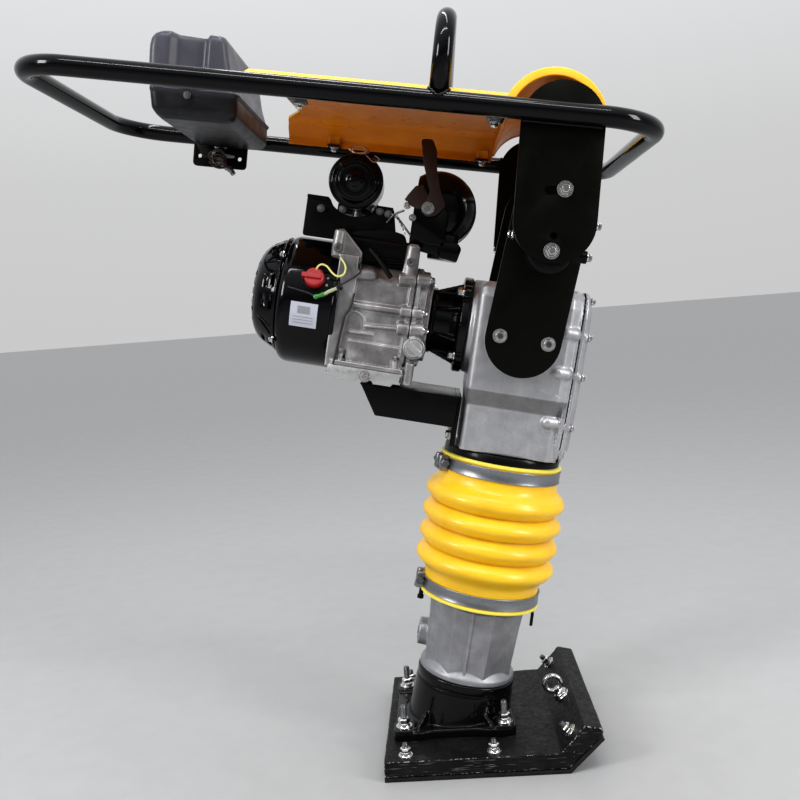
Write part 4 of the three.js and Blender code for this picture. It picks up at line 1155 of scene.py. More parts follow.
def build_tank():
    body = stacked([tank_section(h) for h in (-30, -28, -26, -22, -18, 0, 8, 11, 30, 50, 60, 69, 72, 75, 78,
                                              79.4, 80.5)])
    seam = prism(rounded([(-252.6, -112), (-133.4, -112), (-133.4, 112), (-252.6, 112)], 13, 6), 4.4, 7.8,
                 "z")
    neck = turned([(0, 60), (27, 60), (26, 79), (0, 79)], "z", (-204, 30, 0), 64)
    saddle = tube([(-213, 60, 69), (-213, -60, 69)], 5, 16)
    on_handle("tank_shell", merged(body, seam, neck, saddle), TANK_GREY, "fuel_tank", voxel=1.5, rounds=3,
              sharp=180)
    grip = []
    for k in range(30):
        turn = Matrix.Translation((-204, 30, 0)) @ Matrix.Rotation(2 * pi * k / 30, 4, "Z")
        grip.append(moved(tube([(23.4, 0, 81), (23.2, 0, 91.5)], 1.2, 8), turn))
    cap = turned([(0, 79.6), (24, 79.6), (24, 82), (23.4, 91), (21.5, 93.4), (8, 94), (0, 93)], "z",
                 (-204, 30, 0), 72)
    piece(HANDLE, "fuel_cap", "tank_cap_knob", merged(cap, *grip), FAN_BLACK, "tank_cap")
    tabs, bolts = [], []
    for hand in (-1, 1):
        tabs.append(prism([(hand * 206, 1), (hand * 206, 5), (hand * 112.4, 24), (hand * 112.4, 20)], -211,
                          -188, "x"))
        bolts.append(hex_bolt((-200, hand * 109.6, 0), (0, hand, 0), 3.6, 3, 5))
    on_handle("tank_tabs", merged(*tabs), SATIN_BLACK, bevel=0.6)
    on_handle("tank_bolts", merged(*bolts), DARK_STEEL)


def build_cock():
    plate = prism(rounded([(-249, -59), (-166, -59), (-166, -14), (-249, -14)], 7, 5), 111.2, 114.8)
    holes = merged(*[prism(disc(x, -43.5, 3.2, 24), 100, 125) for x in (-239, -177)])
    on_handle("cock_mounting_plate", plate, PLATE_BLACK, "cock_plate", bevel=0.6, cuts=holes)
    body = merged(turned([(0, 90), (10, 90), (11, 92), (11, 110.6), (0, 110.6)], "y", (-205, 0, -43.5), 40),
                  aimed(hexagon(8, 0, 7), (-205, 100, -40), (0, 0, 1)),
                  tube(curve_through([(-204, 100, -48), (-196, 99, -57), (-186, 98, -63), (-181, 98, -69)]),
                       lambda share: 5.2 - 1.6 * share + 0.5 * sin(share * 60), 24),
                  turned([(0, -50), (6, -50), (6, -33.6), (0, -33.6)], "z", (-205, 100, 0), 24))
    on_handle("fuel_cock_body", body, DARK_STEEL, "fuel_cock", bevel=0.3)
    lever = merged(turned([(0, 84), (6.4, 84), (7, 85), (7, 89.6), (0, 89.6)], "y", (-205, 0, -43.5), 36),
                   prism(rounded([(-208, -47.5), (-180, -46.5), (-178, -42.5), (-208, -39.5)], 2.5, 4), 84,
                         88))
    piece(HANDLE, "cock", "fuel_cock_lever", lever, DARK_STEEL, "cock_lever", bevel=0.5)
    screws = [cap_screw((x, 111, h), (0, -1, 0), 4.0, 4.5, 5.2) for x, h in ((-213, -26), (-201, -25))]
    on_handle("cock_screws", merged(*screws), ZINC)
    ties = []
    for turn, drop in ((0.0, 0.0), (1.9, 3.0), (3.7, -3.0)):
        ties.append(tube(curve_through([
            (-207 + 11 * cos(turn + 0.95 * k) + 0.9 * k, 80 - 2 * sin(1.3 * k + turn),
             -49 + drop + 6.5 * sin(turn + 0.95 * k) - 0.7 * k) for k in range(11)], 4), 1.4, 8))
    on_handle("cock_tie_wire", merged(*ties), BROWN_STRAP)


# ---- engine -----------------------------------------------------------------------
NEAR = -78


def lug(outline, low, high):
    return prism(rounded(outline, 3, 3), low, high)


def build_engine_block():
    main = prism(rounded([(-74, 500), (70, 500), (74, 560), (66, 628), (-52, 634), (-74, 614)], 12, 5),
                 -256, -158, "x")
    rear_ring = prism(rounded([(-80, 488), (74, 488), (78, 560), (70, 640), (-60, 644), (-80, 620)], 14, 5),
                      -264.5, -255, "x")
    web = prism([(-264, 488), (-252, 492), (-245, 560), (-238, 573), (-237, 612), (-238, 640), (-264, 640)],
                -81, -66)
    front_ring = prism(rounded([(-79, 503), (70, 500), (76, 560), (66, 632), (-56, 637), (-79, 616)], 13, 5),
                       -165, -157.4, "x")
    shelf = block(-238, -160, -76.6, -66, 500, 525)
    rear_post = lug([(-276, 634), (-276, 670), (-264, 674), (-235, 646), (-235, 630)], -76, -60)
    post_face = tube([(-269, -72, 637), (-269, -74, 650), (-268, -72, 670)], 8, 24)
    front_post = lug([(-174, 667), (-161, 667), (-156, 612), (-181, 608)], -76, -60)
    post_round = tube([(-168, -70, 612), (-167.6, -70, 664)], lambda share: 11 - 4 * share, 24)
    bars = [
        tube([(-240, NEAR + 2, 575), (-160, NEAR + 2, 576)], 4.6, 16),
        tube([(-218, NEAR + 3, 549), (-165, NEAR + 3, 552)], 2.6, 12),
        tube([(-238, NEAR + 3.4, 538), (-204, NEAR + 3.4, 539)], 2.2, 12),
        tube([(-238, NEAR + 3, 526), (-162, NEAR + 3, 525)], 1.8, 12),
        tube(curve_through([(-244, NEAR + 3.4, 567), (-230, NEAR + 3.4, 566), (-221, NEAR + 3.4, 559),
                            (-218, NEAR + 3.4, 543)]), 2, 12),
        capsule((-232, NEAR + 4, 617), (-219, NEAR + 4, 618), 8.5),
        tube([(-181, NEAR + 3, 618), (-157.6, NEAR + 3, 620)], 8, 20),
        tube([(-173, NEAR + 1, 576), (-157.6, NEAR + 1, 576)], 7.6, 20),
        tube([(-174, NEAR + 1, 553), (-157.6, NEAR + 1, 553)], 9, 20),
        tube([(-245, NEAR, 494), (-245, NEAR, 508)], 4, 16),
        tube([(-170, NEAR, 494), (-170, NEAR, 508)], 4, 16),
    ]
    ledge = block(-256, -158, -84, -66, 492.4, 498)
    shapes = [main, rear_ring, web, front_ring, shelf, rear_post, post_face, front_post, post_round, ledge]
    hole = prism(disc(-256, 594, 2.6, 20), -100, -70)
    on_machine("engine_block_casting", merged(*shapes, *bars), ENGINE_ALUMINIUM, "engine_block", voxel=1.25,
               sharp=70, cuts=hole)
    joint = prism(rounded([(-81, 500.4), (68.6, 500.4), (74.6, 560), (64.6, 632.6), (-56.6, 638.6),
                           (-81, 614)], 14, 5), -157.5, -156.5, "x")
    on_machine("engine_joint_seal", joint, WIRE_BLACK)
    screws = [cap_screw((-267, -81, 647), (0, -1, 0), 4.6, 4.4, 6.4),
              cap_screw((-168.5, -79, 642), (0, -1, 0), 4.2, 4, 5.8),
              hex_bolt((-245, NEAR, 508), (0, 0, 1), 4.4, 4, 5),
              hex_bolt((-170, NEAR, 508), (0, 0, 1), 4.4, 4, 5)]
    on_machine("engine_block_screws", merged(*screws), DARK_STEEL)


def build_side_cover():
    plate = prism(rounded([(-76, 504), (66, 504), (70, 560), (60, 630), (-50, 635), (-76, 610)], 14, 5),
                  -156.6, -140, "x")
    rim = prism(rounded([(-80, 501), (68, 501), (74, 560), (64, 632), (-56, 638), (-80, 614)], 14, 5),
                -156.6, -150, "x")
    belly = prism(rounded([(-66, 512), (58, 512), (62, 560), (54, 618), (-44, 622), (-66, 604)], 18, 5),
                  -142, -133.2, "x")
    bosses = [tube([(-156.5, NEAR + 2, 621), (-139, NEAR + 2, 622)], 8, 20),
              tube([(-156.5, NEAR + 1, 576), (-143, NEAR + 1, 577)], 7.6, 20),
              tube([(-156.5, NEAR + 1, 553), (-138, NEAR + 1, 554)], 9.4, 20),
              tube([(-150, -74, 478), (-150, -74, 508)], 7, 20),
              turned([(0, -84), (14.5, -84), (16, -78), (16, -66), (0, -66)], "y", (-147, 0, 529), 48)]
    bosses += [tube([(-156.6, 66, s), (-139, 66, s)], 7, 20) for s in (520, 580, 620)]
    on_machine("engine_side_casting", merged(plate, rim, belly, *bosses), ENGINE_ALUMINIUM,
               "engine_side_cover", voxel=1.25, sharp=70)
    ends = [hex_bolt((a, y, s), (1, 0, 0), 4.6, 4, 5.6) for a, y, s in (
        (-139, NEAR + 2, 622), (-143, NEAR + 1, 577), (-138, NEAR + 1, 554), (-139, 66, 520), (-139, 66, 580),
        (-139, 66, 620))]
    on_machine("side_cover_screws", merged(*ends), ZINC)
    disc_part = turned([(0, -91), (7, -91.4), (11, -91), (12, -89.6), (12, -84.4), (0, -84.4)], "y",
                       (-147, 0, 529), 48)
    bar = prism(rounded([(-161, 526), (-133, 526), (-133, 532), (-161, 532)], 2.4, 4), -98, -89)
    turn = (Matrix.Translation((-147, 0, 529)) @ Matrix.Rotation(radians(34), 4, "Y")
            @ Matrix.Translation((147, 0, -529)))
    piece(LEG, "oil_filler", "oil_filler_plug", merged(disc_part, moved(bar, turn)), PLUG_ALUMINIUM,
          "oil_plug", voxel=0.5, sharp=70)


def build_engine_base():
    plate = block(-258, -158, -82, 74, 488, 492)
    skirt = prism([(-259, 491), (-259, 477), (-250, 477), (-247, 473), (-219, 473), (-216, 477.5),
                   (-198, 477.5), (-195, 473), (-171, 473), (-168, 477), (-160, 477), (-160, 491)], -83.5,
                  -80)
    lower = block(-262, -158, -82, 74, 476.9, 480)
    on_machine("engine_base_plate", merged(plate, skirt, lower), PLUG_ALUMINIUM, "engine_base", bevel=0.8)
    on_machine("engine_base_bolt", hex_bolt((-207, -83.5, 482), (0, -1, 0), 6.4, 5, 8.2), ZINC)
    top = block(-212, -79.7, -80, 70, 470, 473)
    wall = block(-79.7, -72.4, -74, 70, 404, 473)
    gusset = [(-212, 472), (-186, 431), (-78, 431), (-78, 472)]
    walls = [prism(gusset, -80, -76), prism(gusset, 66, 70)]
    on_machine("engine_support_bracket", merged(top, wall, *walls), SATIN_BLACK, "engine_bracket", bevel=0.8)
    bolts = [hex_bolt((-79.7, y, s), (-1, 0, 0), 6, 5, 8) for y in (-58, 54) for s in (418, 450)]
    bolts += [hex_bolt((x, y, 470), (0, 0, -1), 6, 5, 8) for x in (-195, -120) for y in (-60, 50)]
    on_machine("bracket_bolts", merged(*bolts), ZINC)


def build_head():
    fins = [prism(rounded([(-250, 556), (-174, 556), (-174, 650), (-250, 650)], 10, 4), y, y + 3.2)
            for y in range(76, 134, 8)]
    core = prism(rounded([(-240, 566), (-184, 566), (-184, 640), (-240, 640)], 12, 4), 74.5, 138)
    on_machine("head_with_fins", merged(core, *fins), ENGINE_ALUMINIUM, "cylinder_head", bevel=0.5)
    plug = merged(aimed(hexagon(9.5, 0, 8), (-212, 138.3, 600), (0, 1, 0)),
                  turned([(0, 145), (5.4, 145), (6, 148), (5, 150), (6, 152), (5, 154), (5.6, 157), (3, 160),
                          (3, 166), (0, 166)], "y", (-212, 0, 600), 32))
    on_machine("spark_plug_body", plug, PLUG_ALUMINIUM, "spark_plug", slot="steel")
    bolts = [hex_bolt((a, 138, s), (0, 1, 0), 5.6, 5, 7) for a in (-236, -188) for s in (572, 634)]
    on_machine("head_bolts", merged(*bolts), ZINC)
    shroud = merged(
        prism(rounded([(-58, 632), (60, 632), (76, 648), (72, 669), (-60, 669)], 8, 5), -262, -172, "x"),
        prism(rounded([(-262, 660), (-176, 660), (-184, 680), (-205, 684), (-254, 676)], 5, 4), -34, -28))
    slats = merged(*[tube([(-225 + 3 * k, -60, 645 - 4 * k), (-185 + 2 * k, -60, 647 - 4 * k)], 1.6, 8)
                     for k in range(4)])
    hose = tube(curve_through([(-226, -64, 652), (-208, -76, 636), (-192, -80, 618)]), 3.4, 14)
    on_machine("cylinder_shroud_pressing", merged(shroud, slats), SATIN_BLACK, "cylinder_shroud", bevel=1.4)
    on_machine("breather_hose", hose, RUBBER)


def build_fan_housing():
    profile = [(86, -258.6), (88.4, -258.6), (90, -260), (90, -264), (88.8, -265.2), (90, -267.5), (90, -326)]
    profile += [(90 - 12 * (1 - cos(radians(a))), -326 - 15 * sin(radians(a))) for a in range(10, 91, 10)]
    profile += [(66, -341), (60, -341), (60, -338), (76, -337.6), (83, -334), (86, -326)]
    on_machine("fan_housing_pressing", turned(profile, "x", (0, 0, SHAFT_S), 160, ring=True), FAN_BLACK,
               "fan_housing", sharp=50)
    on_machine("plain_label", patch(90.4, -319, -282, 535, 568), LABEL_WHITE)
    marks = [patch(90.65, -314, -287, s, s + 0.9) for s in (540, 544, 548)]
    marks.append(patch(90.65, -309, -292, 553, 563))
    on_machine("plain_label_bars", merged(*marks), LABEL_GREY)


def patch(r, a0, a1, s0, s1, thick=0.35, steps=12):
    """A thin sheet on the near side of the fan housing's cylinder."""
    points, faces = [], []
    for depth in (r, r - thick):
        for k in range(steps + 1):
            s = s0 + (s1 - s0) * k / steps
            up = s - SHAFT_S
            y = -sqrt(depth * depth - up * up)
            points += [(a0, y, s), (a1, y, s)]
    half = 2 * (steps + 1)
    for k in range(steps):
        a = 2 * k
        faces.append([a, a + 1, a + 3, a + 2])
        faces.append([half + a, half + a + 2, half + a + 3, half + a + 1])
        faces.append([a, a + 2, half + a + 2, half + a])
        faces.append([a + 1, half + a + 1, half + a + 3, a + 3])
    faces += [[0, half, half + 1, 1], [half - 2, half - 1, 2 * half - 1, 2 * half - 2]]
    return points, faces


RECOIL_AT = (0, 0, SHAFT_S + 4)
RECOIL_LINE = [(80, -341.4), (80.4, -343), (79.6, -346), (77, -351), (72.6, -360), (67.4, -368.4),
               (61, -374.6), (53, -379), (44, -382), (30, -383), (0, -383)]


def recoil_point(a, degrees, lift=0.5):
    """A point on the starter cover's skin, at a place along the axis and an angle up from the near side."""
    r = along([(-place, radius) for radius, place in RECOIL_LINE], -a) + lift
    angle = radians(degrees)
    return (a, -r * cos(angle), RECOIL_AT[2] + r * sin(angle))


def build_recoil():
    inner = [(r - 3.6 if r > 4 else 0, a + (3.4 if a < -375 else 1.6)) for r, a in reversed(RECOIL_LINE)]
    inner = [(r, min(a, -341.4)) for r, a in inner]
    shell = turned([*RECOIL_LINE, *inner], "x", RECOIL_AT, 160, ring=True)
    cuts = []
    for degrees in (13, -9, 57, 79, 101, 123, 145, 167, 189, 211, 233, 255, 277, 299):
        for a, reach in ((-349.6, 7.2), (-360.4, 7.2)):
            turn = Matrix.Translation(RECOIL_AT) @ Matrix.Rotation(-radians(degrees), 4, "X")
            slot = prism(stadium(a, -reach, a, reach, 2.9, 8), -95, -55, "z")
            slot = ([(x, z, -y) for x, y, z in slot[0]], slot[1])
            cuts.append(moved(slot, turn))
    for k in range(20):
        turn = Matrix.Translation(RECOIL_AT) @ Matrix.Rotation(2 * pi * (k + 0.5) / 20, 4, "X")
        face = prism([(y, z) for z, y in stadium(36, 0, 55, 0, 3.4, 8)], -392, -366, "x")
        cuts.append(moved(face, turn))
    on_machine("recoil_cover_shell", shell, FAN_BLACK, "recoil_cover", cuts=merged(*cuts), bevel=0.6,
               sharp=45)
    ridges = []
    for tip, first, last in (((-366, 36), (-346, 48), (-344, 34)), ((-368, -29), (-348, -34), (-348, -45))):
        for end in (first, last):
            path = [recoil_point(tip[0] + (end[0] - tip[0]) * k / 8, tip[1] + (end[1] - tip[1]) * k / 8)
                    for k in range(9)]
            ridges.append(tube(path, 1.3, 10))
    rims = [recoil_point(-343, 4 * k, 0.2) for k in range(90)]
    ridges.append(tube(rims, 1.6, 10, True))
    on_machine("recoil_ridges", merged(*ridges), FAN_BLACK)
    post = turned([(0, -380), (7.6, -380), (7.6, -338.4), (0, -338.4)], "x", (0, 0, SHAFT_S), 40)
    screws = []
    for degrees in (44, 136, 224, 316):
        angle = radians(degrees)
        at = (-341.4, -83.5 * cos(angle), SHAFT_S + 83.5 * sin(angle))
        screws.append(hex_bolt(at, (-1, 0, 0), 4.4, 3.6, 5.6))
    on_machine("recoil_post", post, DARK_STEEL)
    on_machine("recoil_screws", merged(*screws), ZINC)
    pulley = turned([(8.3, -356), (40, -356), (40.6, -355), (36, -351.4), (36, -347.6), (40.6, -344),
                     (40, -343), (8.3, -343)], "x", (0, 0, SHAFT_S), 72, ring=True)
    rope = turned([(36.3, -351), (38.4, -350.6), (39, -349.5), (38.4, -348.4), (36.3, -348)], "x",
                  (0, 0, SHAFT_S), 72, ring=True)
    piece(LEG, "pulley", "recoil_pulley_wheel", merged(pulley, rope), SATIN_BLACK, "recoil_pulley",
          slot="black_plastic")
    grip = prism(rounded([(91, 562.4), (103.6, 562.4), (103.6, 581.6), (91, 581.6)], 5, 5), -371.6, -326.4,
                 "x")
    on_machine("starter_pull_grip", grip, RUBBER, "starter_grip", bevel=2.5, segments=3)


SWITCH_TILT = radians(20.5)


def build_switch():
    turn = Matrix.Translation((-292.5, 0, SHAFT_S)) @ Matrix.Rotation(-SWITCH_TILT, 4, "X")
    knob = merged(turned([(0, -100), (11.4, -100), (12.8, -99), (13.4, -97), (14, -91), (0, -91)], "y",
                         (0, 0, 0), 48),
                  prism(rounded([(-16.6, -3.4), (10.4, -2.6), (10.4, 2.6), (-16.6, 3.4)], 2, 4), -103, -92))
    piece(LEG, "switch", "stop_switch_knob", moved(knob, turn), RED, "stop_switch", voxel=0.55, sharp=180)
    base = turned([(0, -90.6), (16, -90.6), (17, -89), (17, -84), (0, -84)], "y", (0, 0, 0), 48)
    on_machine("stop_switch_base", moved(base, turn), FAN_BLACK)
    dots = [turned([(0, -91.2), (1.7, -91.2), (1.7, -87), (0, -87)], "y", (17.5, 0, z), 16)
            for z in (-6.5, 3.5)]
    on_machine("switch_position_dots", moved(merged(*dots), turn), LABEL_GREY)
    yellow = curve_through([(-290, -84, 609), (-291, -90, 615), (-286, -92, 621), (-278, -91.5, 620),
                            (-269, -91, 612), (-261, -90, 609), (-254, -88, 614), (-254, -85, 624),
                            (-262, -80, 634)])
    on_machine("switch_wire_yellow", tube(yellow, 1.35, 12), WIRE_YELLOW)
    black = curve_through([(-234, -79, 630), (-235, -84, 617), (-249, -88, 604), (-264, -91.5, 593)])
    on_machine("switch_wire_black", tube(black, 1.2, 10), WIRE_BLACK)
    tail = curve_through([(-288, -92, 578), (-296, -91.6, 581), (-308, -91.4, 583), (-322, -90.4, 585),
                          (-328, -86, 586)])
    on_machine("switch_wire_tail", tube(tail, 1.2, 10), WIRE_BLACK)
    green = tube(curve_through([(-289, -92.6, 577), (-283, -93, 579.6), (-276, -93, 583)]),
                 lambda share: 3.0 + 0.4 * sin(share * 9), 14)
    on_machine("switch_plug_green", green, SLEEVE_GREEN)
    clear = tube(curve_through([(-276, -93, 583), (-269, -92.6, 588), (-261, -91, 593)]), 2.5, 14)
    on_machine("switch_plug_sleeve", clear, SLEEVE_CLEAR)
    edge = curve_through([(-252, -83, 492), (-249, -83.4, 520), (-246, -83.4, 556), (-240, -83, 570),
                          (-237.5, -81, 590)])
    on_machine("engine_edge_cable", tube(edge, 1.6, 10), WIRE_BLACK)


# ---- air cleaner, carburettor and silencer ------------------------------------------
def build_air_cleaner():
    at = (-261, 0, 741.5)
    rings = [(0, -58.5), (6, -58), (9, -56), (10, -54.4), (15, -53.8), (19.4, -52.6), (20.6, -53.4),
             (22, -53.4), (22.8, -52.2), (24.6, -51.8), (25.6, -52.4), (27, -52.2), (28.2, -50.6),
             (31.5, -48), (33.6, -46.4), (34.8, -46.8), (36.4, -46), (37.4, -44), (37.6, -41), (37.6, -37),
             (36.6, -35.4), (0, -35.2)]
    on_machine("air_cleaner_lid", turned(rings, "y", at, 96), FAN_BLACK, "air_cleaner_cap", sharp=60)
    case = [(0, -34.6), (37.4, -34.6), (37.4, -30), (35.6, -28), (35.6, 14), (34, 18), (20, 26), (0, 26)]
    on_machine("air_cleaner_bowl", turned(case, "y", at, 96), FAN_BLACK, "air_cleaner_case", sharp=40)
    outline = [(-327, 660), (-262, 660.5), (-262, 671), (-196, 673), (-205, 714), (-229, 713), (-236, 703),
               (-247, 697), (-262, 695), (-277, 698), (-290, 706), (-296, 717), (-327, 714)]
    plate = prism(rounded(outline, 4, 3), -24.5, -19)
    hem = merged(block(-327, -297, -27, -17, 712, 717), block(-229, -206, -27, -17, 711, 715))
    on_machine("air_cleaner_plate", merged(plate, hem), SATIN_BLACK, "air_cleaner_bracket", bevel=0.8)
    feet = merged(block(-284, -262, -19, 10, 698, 712), block(-250, -236, -19, 10, 700, 708))
    on_machine("air_cleaner_feet", feet, SATIN_BLACK, bevel=1.5)
    screws = [hex_bolt((a, -24.5, s), (0, -1, 0), 4.4, 4, 5.6)
              for a, s in ((-306, 700), (-212, 706), (-224, 708))]
    screws += [hex_bolt((-275, -30, 703), (0, -1, 0), 4.2, 4, 5.4)]
    on_machine("air_cleaner_screws", merged(*screws), DARK_STEEL)
    loops = []
    for turn, size in ((0.0, 9), (1.1, 7), (2.3, 8)):
        loops.append(tube(curve_through([
            (-262 + size * cos(turn + k * 1.05) * (1 + 0.1 * k), -52 - 2 * sin(k * 1.7),
             782 + 0.6 * size * sin(turn + k * 1.05)) for k in range(9)], 5), 0.8, 8))
    loops.append(tube(curve_through([(-252, -50, 777), (-240, -50, 769), (-233, -49, 774), (-240, -50, 778)],
                                    5), 0.8, 8))
    on_machine("air_cleaner_tie_wire", merged(*loops), COPPER)


def build_carburettor():
    body = merged(block(-276, -240, 26.4, 62, 714, 762), turned([(0, 60), (18, 60), (18, 64), (15, 66),
                                                                 (15, 84), (0, 84)], "y", (-258, 0, 738), 40),
                  turned([(0, 690), (13, 690), (15, 694), (15, 716), (0, 716)], "z", (-258, 44, 0), 40),
                  tube(curve_through([(-258, 80, 738), (-252, 96, 728), (-238, 104, 700), (-226, 104, 664)],
                                     8), 13, 28))
    on_machine("carburettor_body", body, ENGINE_ALUMINIUM, "carburettor", voxel=1.4, sharp=180)
    lever = merged(prism(rounded([(36, 724), (44, 724), (44, 753), (36, 753)], 3, 4), -239.7, -237, "x"),
                   block(-239.7, -231, 37, 43, 748, 754),
                   turned([(0, -239.7), (4.5, -239.7), (4.5, -235.5), (0, -235.5)], "x", (0, 40, 728), 24))
    piece(LEG, "choke", "choke_lever_arm", lever, DARK_STEEL, "choke_lever", bevel=0.4)


def build_muffler():
    drum = turned([(0, -30), (26, -29), (38, -25), (47, -17), (52, -6), (53, 2), (53, 20), (53.8, 21),
                   (53.8, 25), (53, 26), (53, 44), (49, 52), (40, 57), (0, 58)], "y", (-144, 0, 725), 112)
    on_machine("silencer_drum", drum, FOOT_BLACK, "muffler", sharp=40,
               cuts=block(-260, -177, -80, 90, 600, 800), bevel=1.2)
    box = prism(rounded([(-177, 671), (-128, 671), (-128, 716), (-140, 728), (-177, 728)], 3, 3), -42, -30)
    foot = prism(rounded([(-135, 678), (-110, 679), (-104, 672), (-108, 653), (-134, 656)], 3, 3), -42, -16)
    stay = merged(block(-150, -110, -20, 20, 655, 690), prism(rounded([(-178, 664), (-118, 656), (-110, 676),
                                                                       (-114, 690), (-176, 690)], 4, 3), -30,
                                                              -16))
    on_machine("silencer_bracket", merged(box, foot, stay), FAN_BLACK, slot="black_paint", bevel=1.4)
    plate = prism(rounded([(-190, 730), (-178, 748), (-167, 746), (-152, 726), (-170, 716), (-184, 720)], 3,
                          3), -46, -42.4)
    clamp = tube(curve_through([(-190, -42, 726), (-182, -43, 734), (-176, -43.6, 742), (-168, -43.4, 748)]),
                 2.4, 12)
    on_machine("throttle_bracket", merged(clamp, plate), BROWN_STRAP, bevel=0.8)
    bits = [hex_bolt((-186, -43, 719), (-0.3, -1, 0.2), 4, 3.6, 5),
            hex_bolt((-177, -42, 704), (0, -1, 0), 3.8, 3.4, 5),
            cap_screw((-158, -50, 719), (0, -1, 0), 6.6, 5, 8.8)]
    on_machine("throttle_bolts", merged(*bits), ZINC)
    rods = [tube(curve_through(path), 1.5, 10) for path in (
        [(-206, -28, 706), (-196, -34, 700), (-186, -44, 690), (-176, -44.5, 680)],
        [(-212, -26, 694), (-202, -34, 706), (-190, -42, 712)])]
    spring_path = [(-200 + 0.7 * k, -38 + 2.4 * cos(k * 1.3), 706 - 1.0 * k + 2.4 * sin(k * 1.3))
                   for k in range(24)]
    on_machine("governor_rods", merged(*rods, tube(spring_path, 0.6, 6)), DARK_STEEL)
    strap = [(-181, 809), (-165, 811), (-157, 796), (-154, 774), (-143, 740), (-134, 726), (-146, 710),
             (-160, 707), (-168, 716), (-158, 740), (-172, 775)]
    piece(LEG, "throttle", "throttle_strap", prism(rounded(strap, 5, 4), -49.6, -46.6), BROWN_STRAP,
          "throttle_lever", bevel=0.5)


# ---- pieces that keep their CAD shape -------------------------------------------------
KEPT = {
    DARK_STEEL: ["spring_cap", "lower_spring", "upper_spring", "ram_piston", "wrist_pin", "connecting_rod",
                 "crank_gear", "pinion_shaft", "clutch_drum", "clutch_shoes", "crankshaft"],
    BARE_STEEL: ["crank_bearing"],
    ENGINE_ALUMINIUM: ["flywheel"],
}


def paint_kept():
    for material, names in KEPT.items():
        for name in names:
            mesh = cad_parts[name].data
            mesh.materials.clear()
            mesh.materials.append(material)


# ---- stage ------------------------------------------------------------------------
CAMERA_AT = (0.1081, -1.2940, 0.62626)
PITCH_DOWN = radians(5.50)
YAW = radians(-2.918)
ROLL = radians(-4.406)
LENS = 40.5
SENSOR = 36
FLOOR_HALF = 60.0
SKY_LEVEL = [(0.0, 0.09), (0.35, 0.13), (0.6, 0.42), (0.8, 0.5), (1.0, 0.52)]
SKY_LIFT = [(0.0, 0.0), (0.15, 0.05), (0.6, 0.7), (1.0, 1.0)]


def build_camera():
    forward = Vector((sin(YAW) * cos(PITCH_DOWN), cos(YAW) * cos(PITCH_DOWN), -sin(PITCH_DOWN)))
    level = Vector((cos(YAW), -sin(YAW), 0))
    above = level.cross(forward)
    right = level * cos(ROLL) + above * sin(ROLL)
    up = above * cos(ROLL) - level * sin(ROLL)
    data = bpy.data.cameras.new("camera")
    data.lens = LENS
    data.sensor_width = SENSOR
    camera = bpy.data.objects.new("camera", data)
    camera.matrix_world = Matrix.Translation(CAMERA_AT) @ Matrix((right, up, -forward)).transposed().to_4x4()
    bpy.context.scene.collection.objects.link(camera)
    bpy.context.scene.camera = camera


def area_light(name, at, target, size, power, size_y):
    data = bpy.data.lights.new(name, "AREA")
    data.energy = power
    data.shape = "RECTANGLE"
    data.size = size
    data.size_y = size_y
    light = bpy.data.objects.new(name, data)
    light.location = at
    light.rotation_mode = "QUATERNION"
    light.rotation_quaternion = (Vector(target) - Vector(at)).to_track_quat("-Z", "Y")
    bpy.context.scene.collection.objects.link(light)


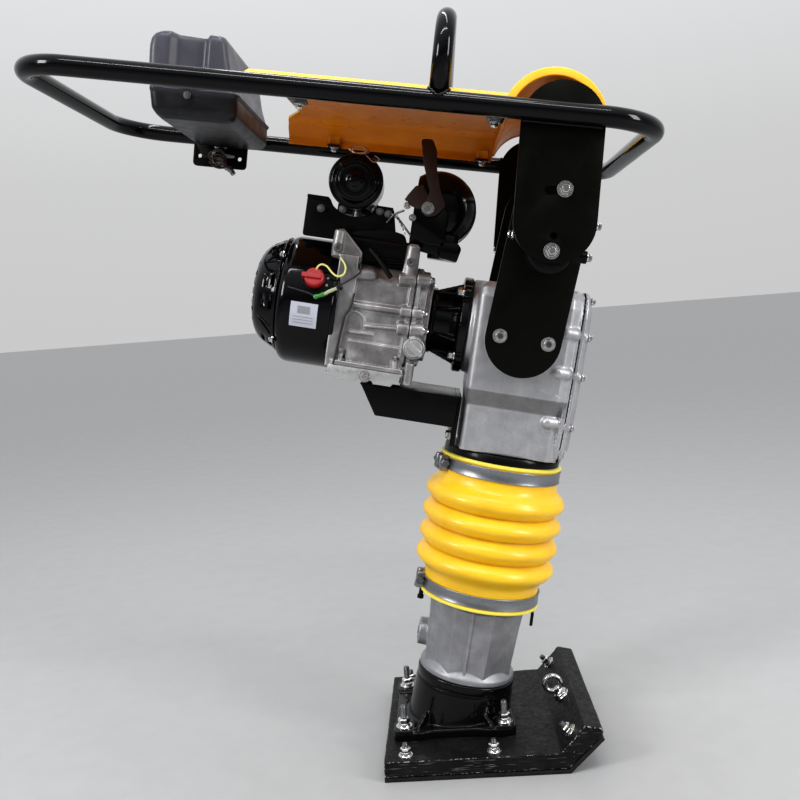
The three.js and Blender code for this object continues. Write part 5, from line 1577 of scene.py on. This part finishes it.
def build_sky():
    """A studio around the machine: dark behind the camera, pale behind the machine, bright overhead."""
    world = bpy.data.worlds.new("studio")
    world.use_nodes = True
    nodes, links = world.node_tree.nodes, world.node_tree.links
    place = nodes.new("ShaderNodeTexCoord")
    split = nodes.new("ShaderNodeSeparateXYZ")
    depth = nodes.new("ShaderNodeMapRange")
    depth.inputs["From Min"].default_value = -1
    level = nodes.new("ShaderNodeValToRGB")
    lift = nodes.new("ShaderNodeValToRGB")
    blend = nodes.new("ShaderNodeMix")
    blend.data_type = "RGBA"
    set_stops(level, SKY_LEVEL)
    set_stops(lift, SKY_LIFT)
    links.new(place.outputs["Generated"], split.inputs["Vector"])
    links.new(split.outputs["Y"], depth.inputs["Value"])
    links.new(depth.outputs["Result"], level.inputs["Fac"])
    links.new(split.outputs["Z"], lift.inputs["Fac"])
    links.new(lift.outputs["Color"], blend.inputs[0])
    links.new(level.outputs["Color"], blend.inputs[6])
    blend.inputs[7].default_value = (0.95, 0.97, 1.0, 1)
    links.new(blend.outputs[2], nodes["Background"].inputs["Color"])
    bpy.context.scene.world = world


def build_stage():
    half = FLOOR_HALF
    mesh = bpy.data.meshes.new("floor")
    mesh.from_pydata([(-half, -half, 0), (half, -half, 0), (half, half, 0), (-half, half, 0)], [],
                     [[0, 1, 2, 3]])
    floor = bpy.data.objects.new("floor", mesh)
    bpy.context.scene.collection.objects.link(floor)
    mesh.materials.append(plain("floor_pale", (0.36, 0.36, 0.36), (0.4, 0.4, 0.4), (0.6, 0.7), 40, 0.02))
    build_sky()
    middle = (0.05, 0, 0.6)
    area_light("strip_near", (0.1, -1.3, 2.5), middle, 2.0, 18, 0.08)
    area_light("strip_over", (0.2, 0.1, 2.7), middle, 2.0, 14, 0.1)
    area_light("left_side", (-2.0, -1.5, 1.7), middle, 0.6, 32, 0.9)
    area_light("right_side", (2.1, -1.2, 1.2), middle, 0.5, 26, 1.2)
    bpy.context.scene.view_settings.view_transform = "Standard"
    bpy.context.scene.view_settings.look = "Medium High Contrast"


build_camera()
build_stage()
build_shoe()
build_eye_bolt()
build_foot()
build_spring_cylinder()
build_bellows()
build_band("lower_band", "foot", 84.4, RIM_BOTTOM + 4, "lower_clamp")
build_band("upper_band", "machine", 85.4, RIM_TOP - 4 - BAND, "upper_clamp", 16)
build_guide_tube()
build_crankcase()
build_crankcase_cover()
build_clutch_housing()
build_support("right", -1)
build_support("left", 1)
build_ring()
build_hoop()
build_cover()
build_tank()
build_cock()
build_engine_block()
build_side_cover()
build_engine_base()
build_head()
build_fan_housing()
build_recoil()
build_switch()
build_air_cleaner()
build_carburettor()
build_muffler()
paint_kept()
